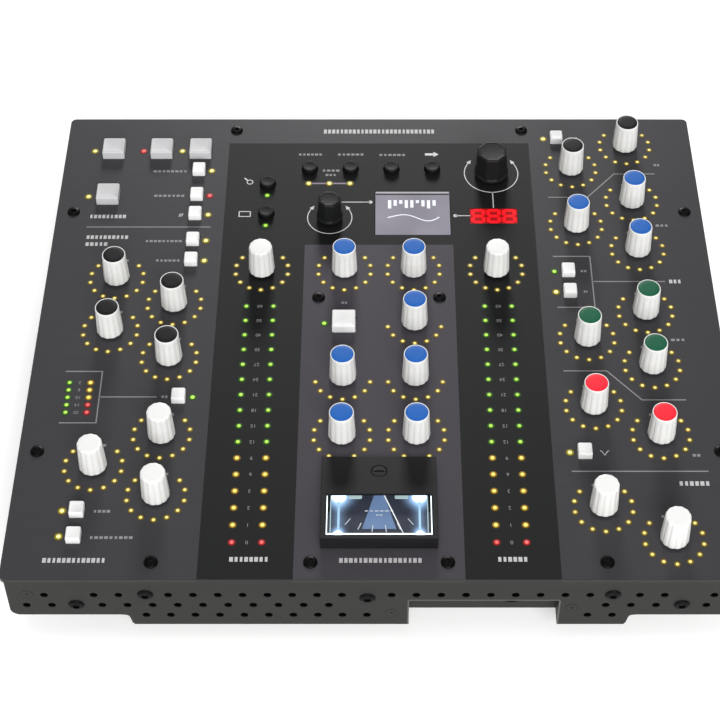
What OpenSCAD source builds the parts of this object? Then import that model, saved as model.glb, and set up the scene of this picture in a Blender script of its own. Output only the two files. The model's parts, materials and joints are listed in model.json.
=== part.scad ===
// Desktop control surface for a channel strip and a bus compressor.
// Origin: middle of the footprint, on the plane the feet stand on.
// +X is the user's right, -Y is the user's front edge, +Z is up.

/* [Panel] */
// Width of the top panel
panel_w = 300; // [296:1:310]
// Depth of the top panel, front to rear
panel_d = 266; // [264:1:276]
// Thickness of the top panel
panel_t = 2.0; // [1.5:0.1:2.5]
// Height of the panel's top face above the desk
panel_top = 45.0; // [44:0.5:50]
// Corner radius of the top panel
panel_r = 2.5; // [1:0.5:5]

/* [Tray] */
// Thickness of the tray's sheet
sheet_t = 1.5; // [1.2:0.1:2]
// How far the panel overhangs the tray on its left and right
side_overhang = 1.5; // [1:0.1:2]
// How far the panel overhangs the tray at its front and rear
end_overhang = 1.2; // [1:0.1:2]
// Height of the outer floor above the desk
outer_floor = 18.2; // [17:0.1:20]
// Height of the deeper middle floor above the desk
middle_floor = 11.1; // [10:0.1:13]
// Half the width of the deeper middle floor
middle_half = 99.2; // [96:0.1:102]
// Diameter of a vent hole in the rear wall
vent_d = 3.2; // [2:0.1:3.4]

/* [Control grid] */
// Distance of the outer knob columns from the middle
outer_col = 118.1; // [117:0.1:119]
// Distance of the inner knob columns from the middle
inner_col = 91.1; // [90:0.1:92]
// Distance of the level trim knobs from the middle
trim_col = 53.0; // [52:0.1:54]
// Distance of the bus knobs from the middle
bus_col = 15.6; // [15:0.1:16]
// Distance of the small side buttons from the middle
button_col = 85.5; // [85:0.1:86]
// Front to rear step from one knob to the next in a group
row_step = 15.6; // [15:0.1:16]
// Front to rear step between the bus rows
bus_step = 31.4; // [31:0.1:32]

/* [Controls] */
// Height of a control knob above the panel
knob_h = 16.0; // [15:0.5:18]
// Diameter of a control knob at its foot
knob_d = 11.7; // [11:0.1:12]
// Diameter of a control knob at its top
knob_top_d = 10.4; // [10.2:0.1:10.8]
// Diameter of the coloured insert in the top of a knob
insert_d = 9.0; // [8:0.1:9.2]
// Number of finger grooves round a knob
groove_count = 12; // [8:1:16]
// Diameter of an encoder shaft
shaft_d = 6.0; // [5:0.1:6.2]
// Travel of a push button
button_travel = 0.8; // [0.5:0.1:0.8]
// Gap all round a moving button in its opening
button_gap = 0.35; // [0.3:0.05:0.5]

/* [Meter] */
// Width of the meter bezel
bezel_w = 47; // [46:0.5:50]
// Depth of the meter bezel, front to rear
bezel_d = 44.2; // [43:0.1:45]
// Height of the bezel's low front edge above the panel
bezel_low = 2.2; // [2:0.1:3]
// Height of the bezel's high rear edge above the panel
bezel_high = 7.2; // [6:0.1:9]
// Angle of the needle from straight ahead at rest
needle_rest = 20.4; // [-32:0.1:32]

/* [Hidden] */
$fn = 48;
clear = 0.35;
thin_gap = 0.05;
panel_under = panel_top - panel_t;
board_top = 34.6;
board_t = 1.6;
switch_h = 3.4;
plunger_h = 0.8;
half_w = panel_w / 2 - side_overhang;
half_d = panel_d / 2 - end_overhang;

// front rows of the knob groups, measured from the middle of the panel
low_row = -113.8;
low_mid_row = -76.3;
high_mid_row = -7.5;
high_row = 45.8;
filter_row = 98.1;
gate_row = -27.7;
comp_row = 61.2;
bus_row = -32.7;
top_button_row = -110.5;
round_row = -98.1;

// name, X, Y, colour of the insert
KNOBS = [
    ["low_gain_knob", -outer_col, low_row, "black"],
    ["low_frequency_knob", -inner_col, low_row + row_step, "black"],
    ["low_mid_frequency_knob", -outer_col, low_mid_row, "blue"],
    ["low_mid_width_knob", -inner_col, low_mid_row + row_step, "blue"],
    ["low_mid_gain_knob", -outer_col, low_mid_row + 2 * row_step, "blue"],
    ["high_mid_frequency_knob", -outer_col, high_mid_row, "green"],
    ["high_mid_width_knob", -inner_col, high_mid_row + row_step, "green"],
    ["high_mid_gain_knob", -outer_col, high_mid_row + 2 * row_step, "green"],
    ["high_frequency_knob", -inner_col, high_row, "red"],
    ["high_gain_knob", -outer_col, high_row + row_step, "red"],
    ["high_pass_knob", -inner_col, filter_row, "white"],
    ["low_pass_knob", -outer_col, filter_row + row_step, "white"],
    ["gate_release_knob", outer_col, gate_row, "black"],
    ["gate_range_knob", inner_col, gate_row + row_step, "black"],
    ["gate_threshold_knob", outer_col, gate_row + 2 * row_step, "black"],
    ["gate_hold_knob", inner_col, gate_row + 3 * row_step, "black"],
    ["comp_ratio_knob", inner_col, comp_row, "white"],
    ["comp_threshold_knob", outer_col, comp_row + row_step + 0.8, "white"],
    ["comp_release_knob", inner_col, comp_row + 2 * row_step, "white"],
    ["input_trim_knob", -trim_col, bus_row, "white"],
    ["output_trim_knob", trim_col, bus_row, "white"],
    ["bus_filter_knob", -bus_col, bus_row, "blue"],
    ["bus_mix_knob", bus_col, bus_row, "blue"],
    ["bus_ratio_knob", -bus_col, bus_row + bus_step, "blue"],
    ["bus_attack_knob", -bus_col, bus_row + 2 * bus_step, "blue"],
    ["bus_release_knob", bus_col, bus_row + 2 * bus_step, "blue"],
    ["bus_threshold_knob", -bus_col, bus_row + 3 * bus_step, "blue"],
    ["bus_makeup_knob", bus_col, bus_row + 3 * bus_step, "blue"]
];

// name, X, Y, height above the panel, diameter at the foot, diameter at the top
SELECTORS = [
    ["channel_selector", -53.2, -95.3, 14.5, 15.4, 13.6],
    ["page_selector", 22.9, -66.0, 12.5, 11.6, 10.4]
];

// size across, size front to rear, height above the panel, colour
BIG_KEY = [10.4, 10.1, 4.1, "Gainsboro"];
SMALL_KEY = [6.0, 6.4, 3.0, "WhiteSmoke"];
LIT_KEY = [10.3, 10.1, 3.9, "white"];

// name, X, Y, kind of key
KEYS = [
    ["solo_button", 127.0, top_button_row, BIG_KEY],
    ["cut_button", 104.1, top_button_row, BIG_KEY],
    ["fine_button", button_col, top_button_row, BIG_KEY],
    ["channel_in_button", 127.0, -79.7, BIG_KEY],
    ["solo_clear_button", button_col, -97.0, SMALL_KEY],
    ["sidechain_listen_button", button_col, -80.3, SMALL_KEY],
    ["polarity_button", button_col, -67.8, SMALL_KEY],
    ["gate_fast_attack_button", button_col, -51.2, SMALL_KEY],
    ["expander_button", button_col, -38.6, SMALL_KEY],
    ["dynamics_in_button", button_col, 41.0, SMALL_KEY],
    ["peak_button", 122.5, 100.0, SMALL_KEY],
    ["comp_fast_attack_button", 122.5, 112.5, SMALL_KEY],
    ["low_bell_button", -button_col, -119.0, SMALL_KEY],
    ["eq_in_button", -button_col, -31.9, SMALL_KEY],
    ["eq_type_button", -button_col, -19.4, SMALL_KEY],
    ["high_bell_button", -button_col, 70.4, SMALL_KEY],
    ["bus_in_button", bus_col, bus_row + bus_step + 0.5, LIT_KEY]
];

// name, X, Y of the round black buttons
ROUND_D = 7.2;
ROUND_H = 2.5;
round_step = 19.4;
ROUNDS = [
    ["magnify_button", 52.5, -87.9],
    ["window_button", 52.5, -68.3],
    ["presets_button", 32.9, round_row],
    ["routing_button", 32.9 - round_step, round_row],
    ["confirm_button", 32.9 - 2 * round_step, round_row],
    ["back_button", 32.9 - 3 * round_step, round_row]
];

// middle X, middle Y, width, depth of the two display windows
SCREEN = [-15.65, -69.2, 35.3, 28.6];
DIGITS = [-53.3, -67.1, 22.5, 9.8];

// the meter sits between front_y and front_y + bezel_d, its face tilted to the user
meter_front = 74.1;
meter_tilt = atan2(bezel_high - bezel_low, bezel_d);
pivot_y = 12.9;
needle_len = 27.8;
needle_z = -3.6;
dial_z = -4.6;

// screws: panel edge and middle, rear wall, stand-offs, feet, stand holes
PANEL_SCREWS = concat(
    [for (sx = [-1, 1]) each [
        [sx * 69.0, -125.0], [sx * 142.2, -69.6], [sx * 142.2, 69.9],
        [sx * 27.0, -16.1], [sx * 90.5, 124.9], [sx * 27.3, 124.9]]]
);
REAR_SCREWS = [[-93.3, 32.4], [93.3, 32.4], [-121.5, 25.3], [121.5, 25.3], [4.7, 30.0]];
STANDOFFS = [for (sx = [-1, 1]) each [
    [sx * 70, -50], [sx * 70, 60], [sx * 132, -20], [sx * 132, 60]]];
foot_seat = 4.4;
foot_x = 84;
foot_y = 108;
FEET = [for (sx = [-1, 1], sy = [-1, 1]) [sx * foot_x, sy * foot_y]];
stand_x = 60;
stand_y = 90;
stand_hole_d = 3.3;

// rounded step between the two floors, from outside in: distance out from middle_half,
// and how far down it is, where 0 is the outer floor and 1 the middle floor
FLOOR_STEP = [[5, -0.07], [5, 0], [2.8, 0.04], [2.0, 0.12], [1.5, 0.28], [0.9, 0.8], [0, 1]];
FLOOR_STEP_BACK = [for (i = [len(FLOOR_STEP) - 1:-1:0]) FLOOR_STEP[i]];

// connector bay in the rear wall
bay_left = -72.1;
bay_right = -12.0;
bay_roof = 28.3;
bay_back = half_d - 7.8;
power_x = -54;
data_x = -30;
socket_z = 20.0;

function insert_colour(name) =
    name == "black" ? [0.10, 0.10, 0.10] :
    name == "blue" ? [0.10, 0.32, 0.70] :
    name == "green" ? [0.05, 0.33, 0.20] :
    name == "red" ? [0.90, 0.12, 0.18] : [0.93, 0.93, 0.92];

// ---------- shared shapes ----------

module rounded_rect(w, d, r) {
    square([w - 2 * r, d], center = true);
    square([w, d - 2 * r], center = true);
    for (x = [-1, 1], y = [-1, 1])
        translate([x * (w / 2 - r), y * (d / 2 - r)])
            circle(r);
}

module block(x0, x1, y0, y1, z0, z1) {
    translate([x0, y0, z0])
        cube([x1 - x0, y1 - y0, z1 - z0]);
}

// everything inside is drawn in the tilted frame of the meter's face
module on_meter_face() {
    translate([0, meter_front, panel_top + bezel_low])
        rotate([meter_tilt, 0, 0])
            children();
}

// ---------- top panel ----------

module panel_openings() {
    for (k = KNOBS)
        translate([k[1], k[2]])
            circle(d = shaft_d + 2);
    for (s = SELECTORS)
        translate([s[1], s[2]])
            circle(d = shaft_d + 2);
    for (b = KEYS)
        translate([b[1], b[2]])
            rounded_rect(b[3][0] + 2 * button_gap, b[3][1] + 2 * button_gap, 0.9);
    for (r = ROUNDS)
        translate([r[1], r[2]])
            circle(d = ROUND_D + 2 * button_gap);
    for (p = PANEL_SCREWS)
        translate(p)
            circle(d = 3.4);
    for (w = [SCREEN, DIGITS])
        translate([w[0], w[1]])
            rounded_rect(w[2], w[3], 0.6);
    translate([0, meter_front + bezel_d / 2 + 0.4])
        rounded_rect(43.2, 41, 1);
}

module top_panel() {
    color([0.27, 0.27, 0.28])
        translate([0, 0, panel_under])
            linear_extrude(panel_t)
                difference() {
                    rounded_rect(panel_w, panel_d, panel_r);
                    panel_openings();
                }
}

// ---------- base tray ----------

// cross-section of the tray in X and Z, drawn smaller by inset
module tray_section(inset, top) {
    r = 4 - inset;
    w = half_w - inset;
    low = outer_floor + inset;
    translate([-w, low + r])
        square([2 * w, top - low - r]);
    translate([-w + r, low])
        square([2 * (w - r), top - low]);
    for (x = [-1, 1])
        translate([x * (w - r), low + r])
            circle(r);
    polygon([
        for (s = [-1, 1], p = s < 0 ? FLOOR_STEP : FLOOR_STEP_BACK)
            [s * (middle_half - inset + p[0]), low - p[1] * (outer_floor - middle_floor)]
    ]);
}

module rear_vents() {
    odd_step = 9.9;
    even_step = 10.1;
    for (i = [0:14], s = [-1, 1])
        if (!(i == 9 || i == 12 || i == 14 || (i == 0 && s == 1)))
            translate([s * (odd_step / 2 + i * odd_step), panel_top - 12.7])
                circle(d = vent_d);
    for (i = [2:14])
        if (i != 12)
            translate([i * even_step, panel_top - 19.9])
                circle(d = vent_d);
    for (i = [9:14])
        if (i != 12)
            translate([-i * even_step, panel_top - 19.9])
                circle(d = vent_d);
    for (i = [0:9])
        translate([odd_step / 2 + i * odd_step, panel_top - 27.1])
            circle(d = vent_d);
    for (i = [8, 9])
        translate([-odd_step / 2 - i * odd_step, panel_top - 27.1])
            circle(d = vent_d);
}

// a wall across the tray whose outer face is at y, drawn towards -Y
module end_wall(y) {
    translate([0, y, 0])
        rotate([90, 0, 0])
            linear_extrude(sheet_t)
                children();
}

module connector_bay() {
    t = sheet_t;
    block(bay_left - t, bay_right + t, bay_back - t, bay_back, middle_floor + t / 2, bay_roof + t);
    block(bay_left - t, bay_right + t, bay_back - t, half_d - t / 2, bay_roof, bay_roof + t);
    for (x = [bay_left - t, bay_right])
        block(x, x + t, bay_back - t, half_d - t / 2, middle_floor + t / 2, bay_roof + t);
}

module base_tray() {
    t = sheet_t;
    color([0.24, 0.24, 0.24])
        difference() {
            union() {
                // floor and side walls
                translate([0, half_d, 0])
                    rotate([90, 0, 0])
                        linear_extrude(2 * half_d)
                            difference() {
                                tray_section(0, panel_under);
                                tray_section(t, panel_under + 1);
                            }
                // front wall, and rear wall with its vents and its cut-out
                end_wall(-half_d + t)
                    tray_section(0.4, panel_under);
                end_wall(half_d)
                    difference() {
                        tray_section(0.4, panel_under);
                        rear_vents();
                        for (p = REAR_SCREWS)
                            translate(p)
                                circle(d = 4.2);
                    }
                // flanges under the panel
                for (s = [-1, 1]) {
                    block(min(s * 136, s * (half_w - t / 2)), max(s * 136, s * (half_w - t / 2)),
                          -119, 119, panel_under - t, panel_under);
                    block(-145, 145, min(s * 119, s * (half_d - t / 2)),
                          max(s * 119, s * (half_d - t / 2)), panel_under - t, panel_under);
                }
                connector_bay();
                // stand-offs that carry the board, and the two posts under the panel
                for (p = STANDOFFS)
                    translate([p[0], p[1], abs(p[0]) > 100 ? outer_floor + t / 2 : middle_floor + t / 2])
                        cylinder(d = 6, h = board_top - board_t - thin_gap
                            - (abs(p[0]) > 100 ? outer_floor + t / 2 : middle_floor + t / 2));
                for (x = [-27, 27])
                    translate([x, -16.1, middle_floor + t / 2])
                        cylinder(d = 7, h = panel_under - middle_floor - t / 2 - thin_gap);
            }
            // notches in the flanges for the feet of the keys beside them
            for (b = KEYS)
                block(b[1] - 6, b[1] + 6, b[2] - 5.5, b[2] + 5.5, panel_under - t - 1, panel_under + 1);
            // the cut-out for the bay goes through the rear wall and the floor's rear edge
            block(bay_left, bay_right, bay_back, half_d + 1, 0, bay_roof);
            // socket openings in the bay's back wall
            translate([power_x, bay_back + 1, socket_z])
                rotate([90, 0, 0])
                    cylinder(d = 10, h = 5);
            translate([data_x, bay_back + 1, socket_z])
                rotate([90, 0, 0])
                    linear_extrude(5)
                        rounded_rect(10.4, 4.6, 2.2);
            // screw holes
            for (p = PANEL_SCREWS)
                translate([p[0], p[1], panel_under - 9])
                    cylinder(d = 2.9, h = 10);
            for (p = STANDOFFS)
                translate([p[0], p[1], board_top - 9])
                    cylinder(d = 2.9, h = 10);
            for (p = FEET)
                translate([p[0], p[1], middle_floor - 1])
                    cylinder(d = 3.6, h = 5);
            for (x = [-1, 1], y = [-1, 1])
                translate([x * stand_x, y * stand_y, middle_floor - 1])
                    cylinder(d = stand_hole_d, h = 5);
        }
}

// ---------- control board ----------

module encoder(x, y) {
    translate([x, y, board_top + thin_gap])
        difference() {
            union() {
                translate([-6, -6.5, 0])
                    cube([12, 13, 4.6]);
                cylinder(d = 9, h = 7.4);
            }
            translate([0, 0, 0.6])
                cylinder(d = shaft_d + 0.7, h = 10);
        }
}

module push_switch(x, y) {
    translate([x, y, board_top + thin_gap]) {
        translate([-3, -3, 0])
            cube([6, 6, switch_h]);
        translate([0, 0, switch_h])
            cylinder(d = 3.2, h = plunger_h);
    }
}

module display_block(w, top) {
    translate([w[0], w[1], board_top + thin_gap])
        linear_extrude(top - board_top - thin_gap)
            square([w[2] - 0.8, w[3] - 0.8], center = true);
}

module power_socket() {
    translate([power_x, bay_back - sheet_t - 0.4, socket_z])
        rotate([90, 0, 0])
            difference() {
                translate([-4.5, -4.5, 0])
                    cube([9, 9.5, 12]);
                translate([0, 0, -1])
                    cylinder(d = 6.4, h = 10);
            }
    translate([power_x, bay_back - sheet_t - 0.4, socket_z])
        rotate([90, 0, 0])
            translate([0, 0, 0.6])
                cylinder(d = 2.0, h = 9.5);
}

module data_socket() {
    translate([data_x, bay_back - 0.6, socket_z])
        rotate([90, 0, 0])
            difference() {
                linear_extrude(8)
                    rounded_rect(8.9, 3.3, 1.5);
                translate([0, 0, -1])
                    linear_extrude(7.5)
                        difference() {
                            rounded_rect(8.3, 2.7, 1.2);
                            square([6.7, 0.7], center = true);
                        }
            }
}

module control_board() {
    color("DarkGreen")
        translate([0, -5, board_top - board_t])
            linear_extrude(board_t)
                difference() {
                    rounded_rect(272, 238, 2);
                    for (p = STANDOFFS)
                        translate([p[0], p[1] + 5])
                            circle(d = 3.4);
                    for (x = [-27, 27])
                        translate([x, -11.1])
                            circle(d = 8);
                }
    color("DimGray") {
        for (k = concat(KNOBS, SELECTORS))
            encoder(k[1], k[2]);
        for (b = concat(KEYS, ROUNDS))
            push_switch(b[1], b[2]);
        display_block(SCREEN, panel_top - 0.5);
        display_block(DIGITS, panel_top - 0.5);
    }
    // connector board with its two sockets
    color("DarkGreen")
        block(bay_left + 2, bay_right - 2, 90, bay_back - sheet_t - 0.5, socket_z - 6.2, socket_z - 4.6);
    color("DimGray") {
        power_socket();
        data_socket();
    }
}

// ---------- meter ----------

module meter_bezel() {
    difference() {
        translate([bezel_w / 2, meter_front, panel_top])
            rotate([90, 0, -90])
                mirror([1, 0, 0])
                    linear_extrude(bezel_w)
                        polygon([[0, 0], [bezel_d, 0], [bezel_d, bezel_high], [0, bezel_low]]);
        on_meter_face() {
            block(-21.9, 21.9, 2, bezel_d - 1.1, -12, -1.2);
            block(-21.35, 21.35, 20.8, 42.6, -3, 2);
            translate([0, 8.3, -0.7])
                cylinder(d = 6.6, h = 3);
        }
    }
}

module zero_adjuster() {
    translate([0, 8.3, -0.65])
        difference() {
            cylinder(d = 6.2, h = 0.6);
            translate([-4, -0.5, 0.3])
                cube([8, 1, 1]);
        }
}

module meter_housing() {
    color([0.08, 0.08, 0.09]) {
        meter_bezel();
        // tub under the panel
        translate([0, meter_front + bezel_d / 2 + 0.4, 36.6])
            difference() {
                linear_extrude(5.6)
                    rounded_rect(42, 39.6, 1);
                translate([0, 0, 1.2])
                    linear_extrude(6)
                        rounded_rect(39.6, 37.2, 1);
            }
        on_meter_face() {
            zero_adjuster();
            // magnet and coil block round the needle's spindle
            translate([0, pivot_y, -9.6])
                difference() {
                    cylinder(d = 14, h = 3);
                    translate([0, 0, -1])
                        cylinder(d = 2.4, h = 6);
                }
        }
    }
    color("white")
        on_meter_face()
            difference() {
                block(-21.2, 21.2, 9, 42.4, dial_z - 0.8, dial_z);
                translate([0, pivot_y, dial_z - 2])
                    cylinder(d = 2.6, h = 4);
            }
    color([0.8, 0.9, 1.0, 0.4])
        on_meter_face()
            block(-21.7, 21.7, 20.2, 43.0, -2.25, -1.25);
}

module meter_needle() {
    color("white")
        on_meter_face()
            translate([0, pivot_y, needle_z])
                rotate([0, 0, needle_rest]) {
                    linear_extrude(0.4)
                        polygon([
                            [-0.5, -4], [0.5, -4], [0.45, 4], [0.22, needle_len],
                            [-0.22, needle_len], [-0.45, 4]
                        ]);
                    translate([0, 0, -5.8])
                        cylinder(d = 1.2, h = 6);
                    translate([0, 0, -0.2])
                        cylinder(d = 3, h = 0.8);
                }
}

// ---------- fasteners and feet ----------

// button-head screw with its head on z = 0 and its shank pointing down
module button_screw(head_d, head_h, shank_d, shank_l, key) {
    difference() {
        union() {
            rotate_extrude()
                polygon([
                    [0, 0], [head_d / 2, 0], [head_d / 2, head_h * 0.35],
                    [head_d * 0.36, head_h * 0.85], [head_d * 0.24, head_h], [0, head_h]
                ]);
            translate([0, 0, -shank_l])
                cylinder(d = shank_d, h = shank_l + 0.1);
        }
        translate([0, 0, head_h * 0.3])
            cylinder(d = key, h = head_h, $fn = 6);
    }
}

module fasteners() {
    color([0.06, 0.06, 0.06]) {
        for (p = PANEL_SCREWS)
            translate([p[0], p[1], panel_top])
                button_screw(6.2, 1.1, 2.6, 8, 2.3);
        for (p = REAR_SCREWS)
            translate([p[0], half_d, p[1]])
                rotate([-90, 0, 0])
                    button_screw(6.8, end_overhang, 3.6, 6, 2.6);
        for (p = STANDOFFS)
            translate([p[0], p[1], board_top])
                button_screw(5.4, 1.6, 2.6, 7, 2.0);
        for (p = FEET)
            translate([p[0], p[1], foot_seat])
                mirror([0, 0, 1])
                    button_screw(6, 2, 3, 11, 2.3);
    }
}

module feet() {
    color([0.05, 0.05, 0.05])
        for (p = FEET)
            translate([p[0], p[1], 0])
                rotate_extrude()
                    polygon([
                        [4, 0], [9, 0], [10, 1], [11, middle_floor], [1.8, middle_floor],
                        [1.8, foot_seat + thin_gap], [4, foot_seat + thin_gap]
                    ]);
}

// ---------- controls ----------

module shaft(top) {
    bottom = board_top + 1.2;
    color("Silver")
        difference() {
            translate([0, 0, bottom])
                cylinder(d = shaft_d, h = top - bottom);
            block(1.6, 5, -5, 5, panel_top + 2, top + 1);
        }
}

// hole for the flattened shaft, from the knob's foot up to top
module shaft_socket(top) {
    difference() {
        translate([0, 0, panel_top])
            cylinder(d = shaft_d + 0.1, h = top - panel_top);
        block(1.65, 5, -5, 5, panel_top + 3.3, top + 1);
    }
}

module grooves(foot_d, top_d, h) {
    lean = atan2((foot_d - top_d) / 2, h);
    for (i = [0:groove_count - 1])
        rotate([0, 0, i * 360 / groove_count])
            translate([foot_d / 2 + 0.7, 0, panel_top - 1])
                rotate([0, -lean, 0])
                    cylinder(d = 2, h = h + 3);
}

module knob(k) {
    z0 = panel_top + 1.2;
    z1 = panel_top + knob_h;
    shaft_top = panel_top + 12;
    translate([k[1], k[2], 0]) {
        color([0.93, 0.93, 0.92])
            difference() {
                rotate_extrude()
                    polygon([
                        [0, z0], [knob_d / 2, z0], [knob_top_d / 2, z1 - 0.6],
                        [knob_top_d / 2 - 0.35, z1 - 0.1], [insert_d / 2 + 0.06, z1 - 0.1],
                        [insert_d / 2 + 0.06, z1 - 1.2], [0, z1 - 1.2]
                    ]);
                shaft_socket(shaft_top + 0.2);
                grooves(knob_d, knob_top_d, knob_h);
            }
        color(insert_colour(k[3]))
            rotate_extrude()
                polygon([
                    [0, z1 - 1.15], [insert_d / 2, z1 - 1.15], [insert_d / 2, z1 - 0.3],
                    [insert_d / 2 - 0.3, z1 - 0.1], [0, z1]
                ]);
        shaft(shaft_top);
    }
}

module selector(s) {
    z0 = panel_top + 1.0;
    z1 = panel_top + s[3];
    shaft_top = panel_top + 9;
    translate([s[1], s[2], 0]) {
        color([0.10, 0.10, 0.11])
            difference() {
                rotate_extrude()
                    polygon([
                        [0, z0], [s[4] / 2 + 0.3, z0], [s[4] / 2 + 0.3, z0 + 1.4], [s[4] / 2, z0 + 1.8],
                        [s[5] / 2, z1 - 0.8], [s[5] / 2 - 0.7, z1 - 0.1], [0, z1]
                    ]);
                shaft_socket(shaft_top + 0.2);
            }
        shaft(shaft_top);
    }
}

// parts that every button has under the panel
module button_stem(w, d, round) {
    flange_top = panel_under - clear;
    stem_bottom = board_top + thin_gap + switch_h + plunger_h + button_travel + clear;
    translate([0, 0, flange_top - 1]) {
        if (round)
            cylinder(d = w, h = 1);
        else
            linear_extrude(1)
                square([w, d], center = true);
    }
    translate([0, 0, stem_bottom])
        cylinder(d = 3, h = flange_top - stem_bottom - 0.5);
}

module key_button(b) {
    size = b[3];
    translate([b[1], b[2], 0])
        color(size[3]) {
            translate([0, 0, panel_under - clear - 0.5])
                linear_extrude(panel_t + clear + 0.5 + size[2])
                    rounded_rect(size[0], size[1], 0.6);
            button_stem(size[0] + 1.6, size[1] + 1.6, false);
        }
}

module round_button(r) {
    translate([r[1], r[2], 0])
        color([0.08, 0.08, 0.08]) {
            translate([0, 0, panel_under - clear - 0.5])
                cylinder(d = ROUND_D, h = panel_t + clear + 0.5 + ROUND_H - 0.5);
            translate([0, 0, panel_top + ROUND_H - 0.5])
                cylinder(d1 = ROUND_D, d2 = ROUND_D - 1, h = 0.5);
            button_stem(ROUND_D + 1.6, 0, true);
        }
}

top_panel();
base_tray();
control_board();
meter_housing();
meter_needle();
fasteners();
feet();
for (k = KNOBS) knob(k);
for (s = SELECTORS) selector(s);
for (b = KEYS) key_button(b);
for (r = ROUNDS) round_button(r);
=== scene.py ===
"""Looks of a desktop control surface for a channel strip and a bus compressor.

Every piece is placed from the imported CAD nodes. Lengths are written in millimetres
and turned into metres by MM. +X is the user's right, -Y the user's front, +Z up.
"""
import json
import math
import random

import bpy
from mathutils import Matrix, Vector


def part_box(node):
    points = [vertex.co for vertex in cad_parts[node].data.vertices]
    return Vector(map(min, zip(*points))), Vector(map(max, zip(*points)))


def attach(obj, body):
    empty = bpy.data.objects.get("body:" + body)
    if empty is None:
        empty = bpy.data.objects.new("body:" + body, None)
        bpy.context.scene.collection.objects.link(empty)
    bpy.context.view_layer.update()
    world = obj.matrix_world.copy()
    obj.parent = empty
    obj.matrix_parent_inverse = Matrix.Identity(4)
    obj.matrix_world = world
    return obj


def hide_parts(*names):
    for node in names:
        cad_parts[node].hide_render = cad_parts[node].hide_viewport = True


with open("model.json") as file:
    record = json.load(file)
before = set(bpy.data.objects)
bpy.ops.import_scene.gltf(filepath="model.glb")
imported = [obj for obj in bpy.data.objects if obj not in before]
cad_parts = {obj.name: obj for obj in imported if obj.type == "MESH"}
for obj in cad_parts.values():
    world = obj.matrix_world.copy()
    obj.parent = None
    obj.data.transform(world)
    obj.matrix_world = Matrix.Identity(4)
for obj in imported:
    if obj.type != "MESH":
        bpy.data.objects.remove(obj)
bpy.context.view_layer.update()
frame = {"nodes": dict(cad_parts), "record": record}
random.seed(11)

MM = 0.001
PANEL_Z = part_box("top_panel")[1].z
PRINT_T = 0.03  # thickness of printed marks, mm
NODES = [s["node"] for s in frame["record"]["subparts"]]
KNOBS = [n for n in NODES if n.endswith("_knob")]
SELECTORS = [n for n in NODES if n.endswith("_selector")]
BUTTONS = [n for n in NODES if n.endswith("_button")]


# ---- places


def centre(node):
    """Middle of a CAD node in X and Y, in metres."""
    low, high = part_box(node)
    return (low.x + high.x) / 2, (low.y + high.y) / 2


def meter_frame():
    """Matrix of the meter's tilted face, with its origin at the middle of the low front edge."""
    low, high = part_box("meter_housing")
    front_h = FRONT_H * MM
    tilt = math.atan2(high.z - PANEL_Z - front_h, high.y - low.y)
    place = Matrix.Translation((0, low.y, PANEL_Z + front_h))
    return place @ Matrix.Rotation(tilt, 4, "X")


# ---- shapes


class Shape:
    """Vertices and faces being collected, with one number kept per vertex."""

    def __init__(self):
        self.verts = []
        self.faces = []
        self.tone = []

    def add(self, verts, faces, tone=0.0, at=None):
        first = len(self.verts)
        for i, v in enumerate(verts):
            point = at @ Vector(v) if at is not None else Vector(v)
            self.verts.append(point)
            self.tone.append(tone[i] if isinstance(tone, list) else tone)
        for f in faces:
            self.faces.append([first + i for i in f])

    def add_shape(self, other, at=None):
        self.add(other.verts, other.faces, list(other.tone), at)

    def mesh(self, name, sharp=35):
        mesh = bpy.data.meshes.new(name)
        mesh.from_pydata(self.verts, [], self.faces)
        mesh.validate()
        if len(mesh.vertices) == len(self.tone):
            layer = mesh.attributes.new("tone", "FLOAT", "POINT")
            layer.data.foreach_set("value", self.tone)
        mesh.shade_smooth()
        mesh.set_sharp_from_angle(angle=math.radians(sharp))
        return mesh


def lathe(profile, steps, swell=None, tones=None):
    """Shape turned round Z from (radius, height) points in mm. swell(angle, height) scales a radius."""
    shape = Shape()
    rings = []
    for i, (r, z) in enumerate(profile):
        tone = tones[i] if tones else 0.0
        if r == 0:
            rings.append([len(shape.verts)])
            shape.add([(0, 0, z * MM)], [], tone)
            continue
        ring = []
        for s in range(steps):
            a = 2 * math.pi * s / steps
            k = swell(a, z) if swell else 1.0
            ring.append(len(shape.verts))
            shape.add([(r * k * math.cos(a) * MM, r * k * math.sin(a) * MM, z * MM)], [], tone)
        rings.append(ring)
    for a, b in zip(rings, rings[1:]):
        for s in range(steps):
            t = (s + 1) % steps
            if len(a) == 1 and len(b) == 1:
                continue
            if len(a) == 1:
                shape.faces.append([a[0], b[t], b[s]])
            elif len(b) == 1:
                shape.faces.append([a[s], a[t], b[0]])
            else:
                shape.faces.append([a[s], a[t], b[t], b[s]])
    return shape


def block(x0, x1, y0, y1, z0, z1):
    """Box between corners given in mm."""
    shape = Shape()
    verts = [(x * MM, y * MM, z * MM) for z in (z0, z1) for y in (y0, y1) for x in (x0, x1)]
    faces = [(0, 2, 3, 1), (4, 5, 7, 6), (0, 1, 5, 4), (1, 3, 7, 5), (3, 2, 6, 7), (2, 0, 4, 6)]
    shape.add(verts, faces)
    return shape


def rounded_outline(w, d, r):
    """Points round a rectangle with round corners, in mm, anticlockwise."""
    points = []
    steps = 6
    corners = [(1, 1, 0), (-1, 1, 90), (-1, -1, 180), (1, -1, 270)]
    for sx, sy, start in corners:
        for i in range(steps + 1):
            a = math.radians(start + 90 * i / steps)
            x = sx * (w / 2 - r) + r * math.cos(a)
            y = sy * (d / 2 - r) + r * math.sin(a)
            points.append((x, y))
    return points


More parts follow.
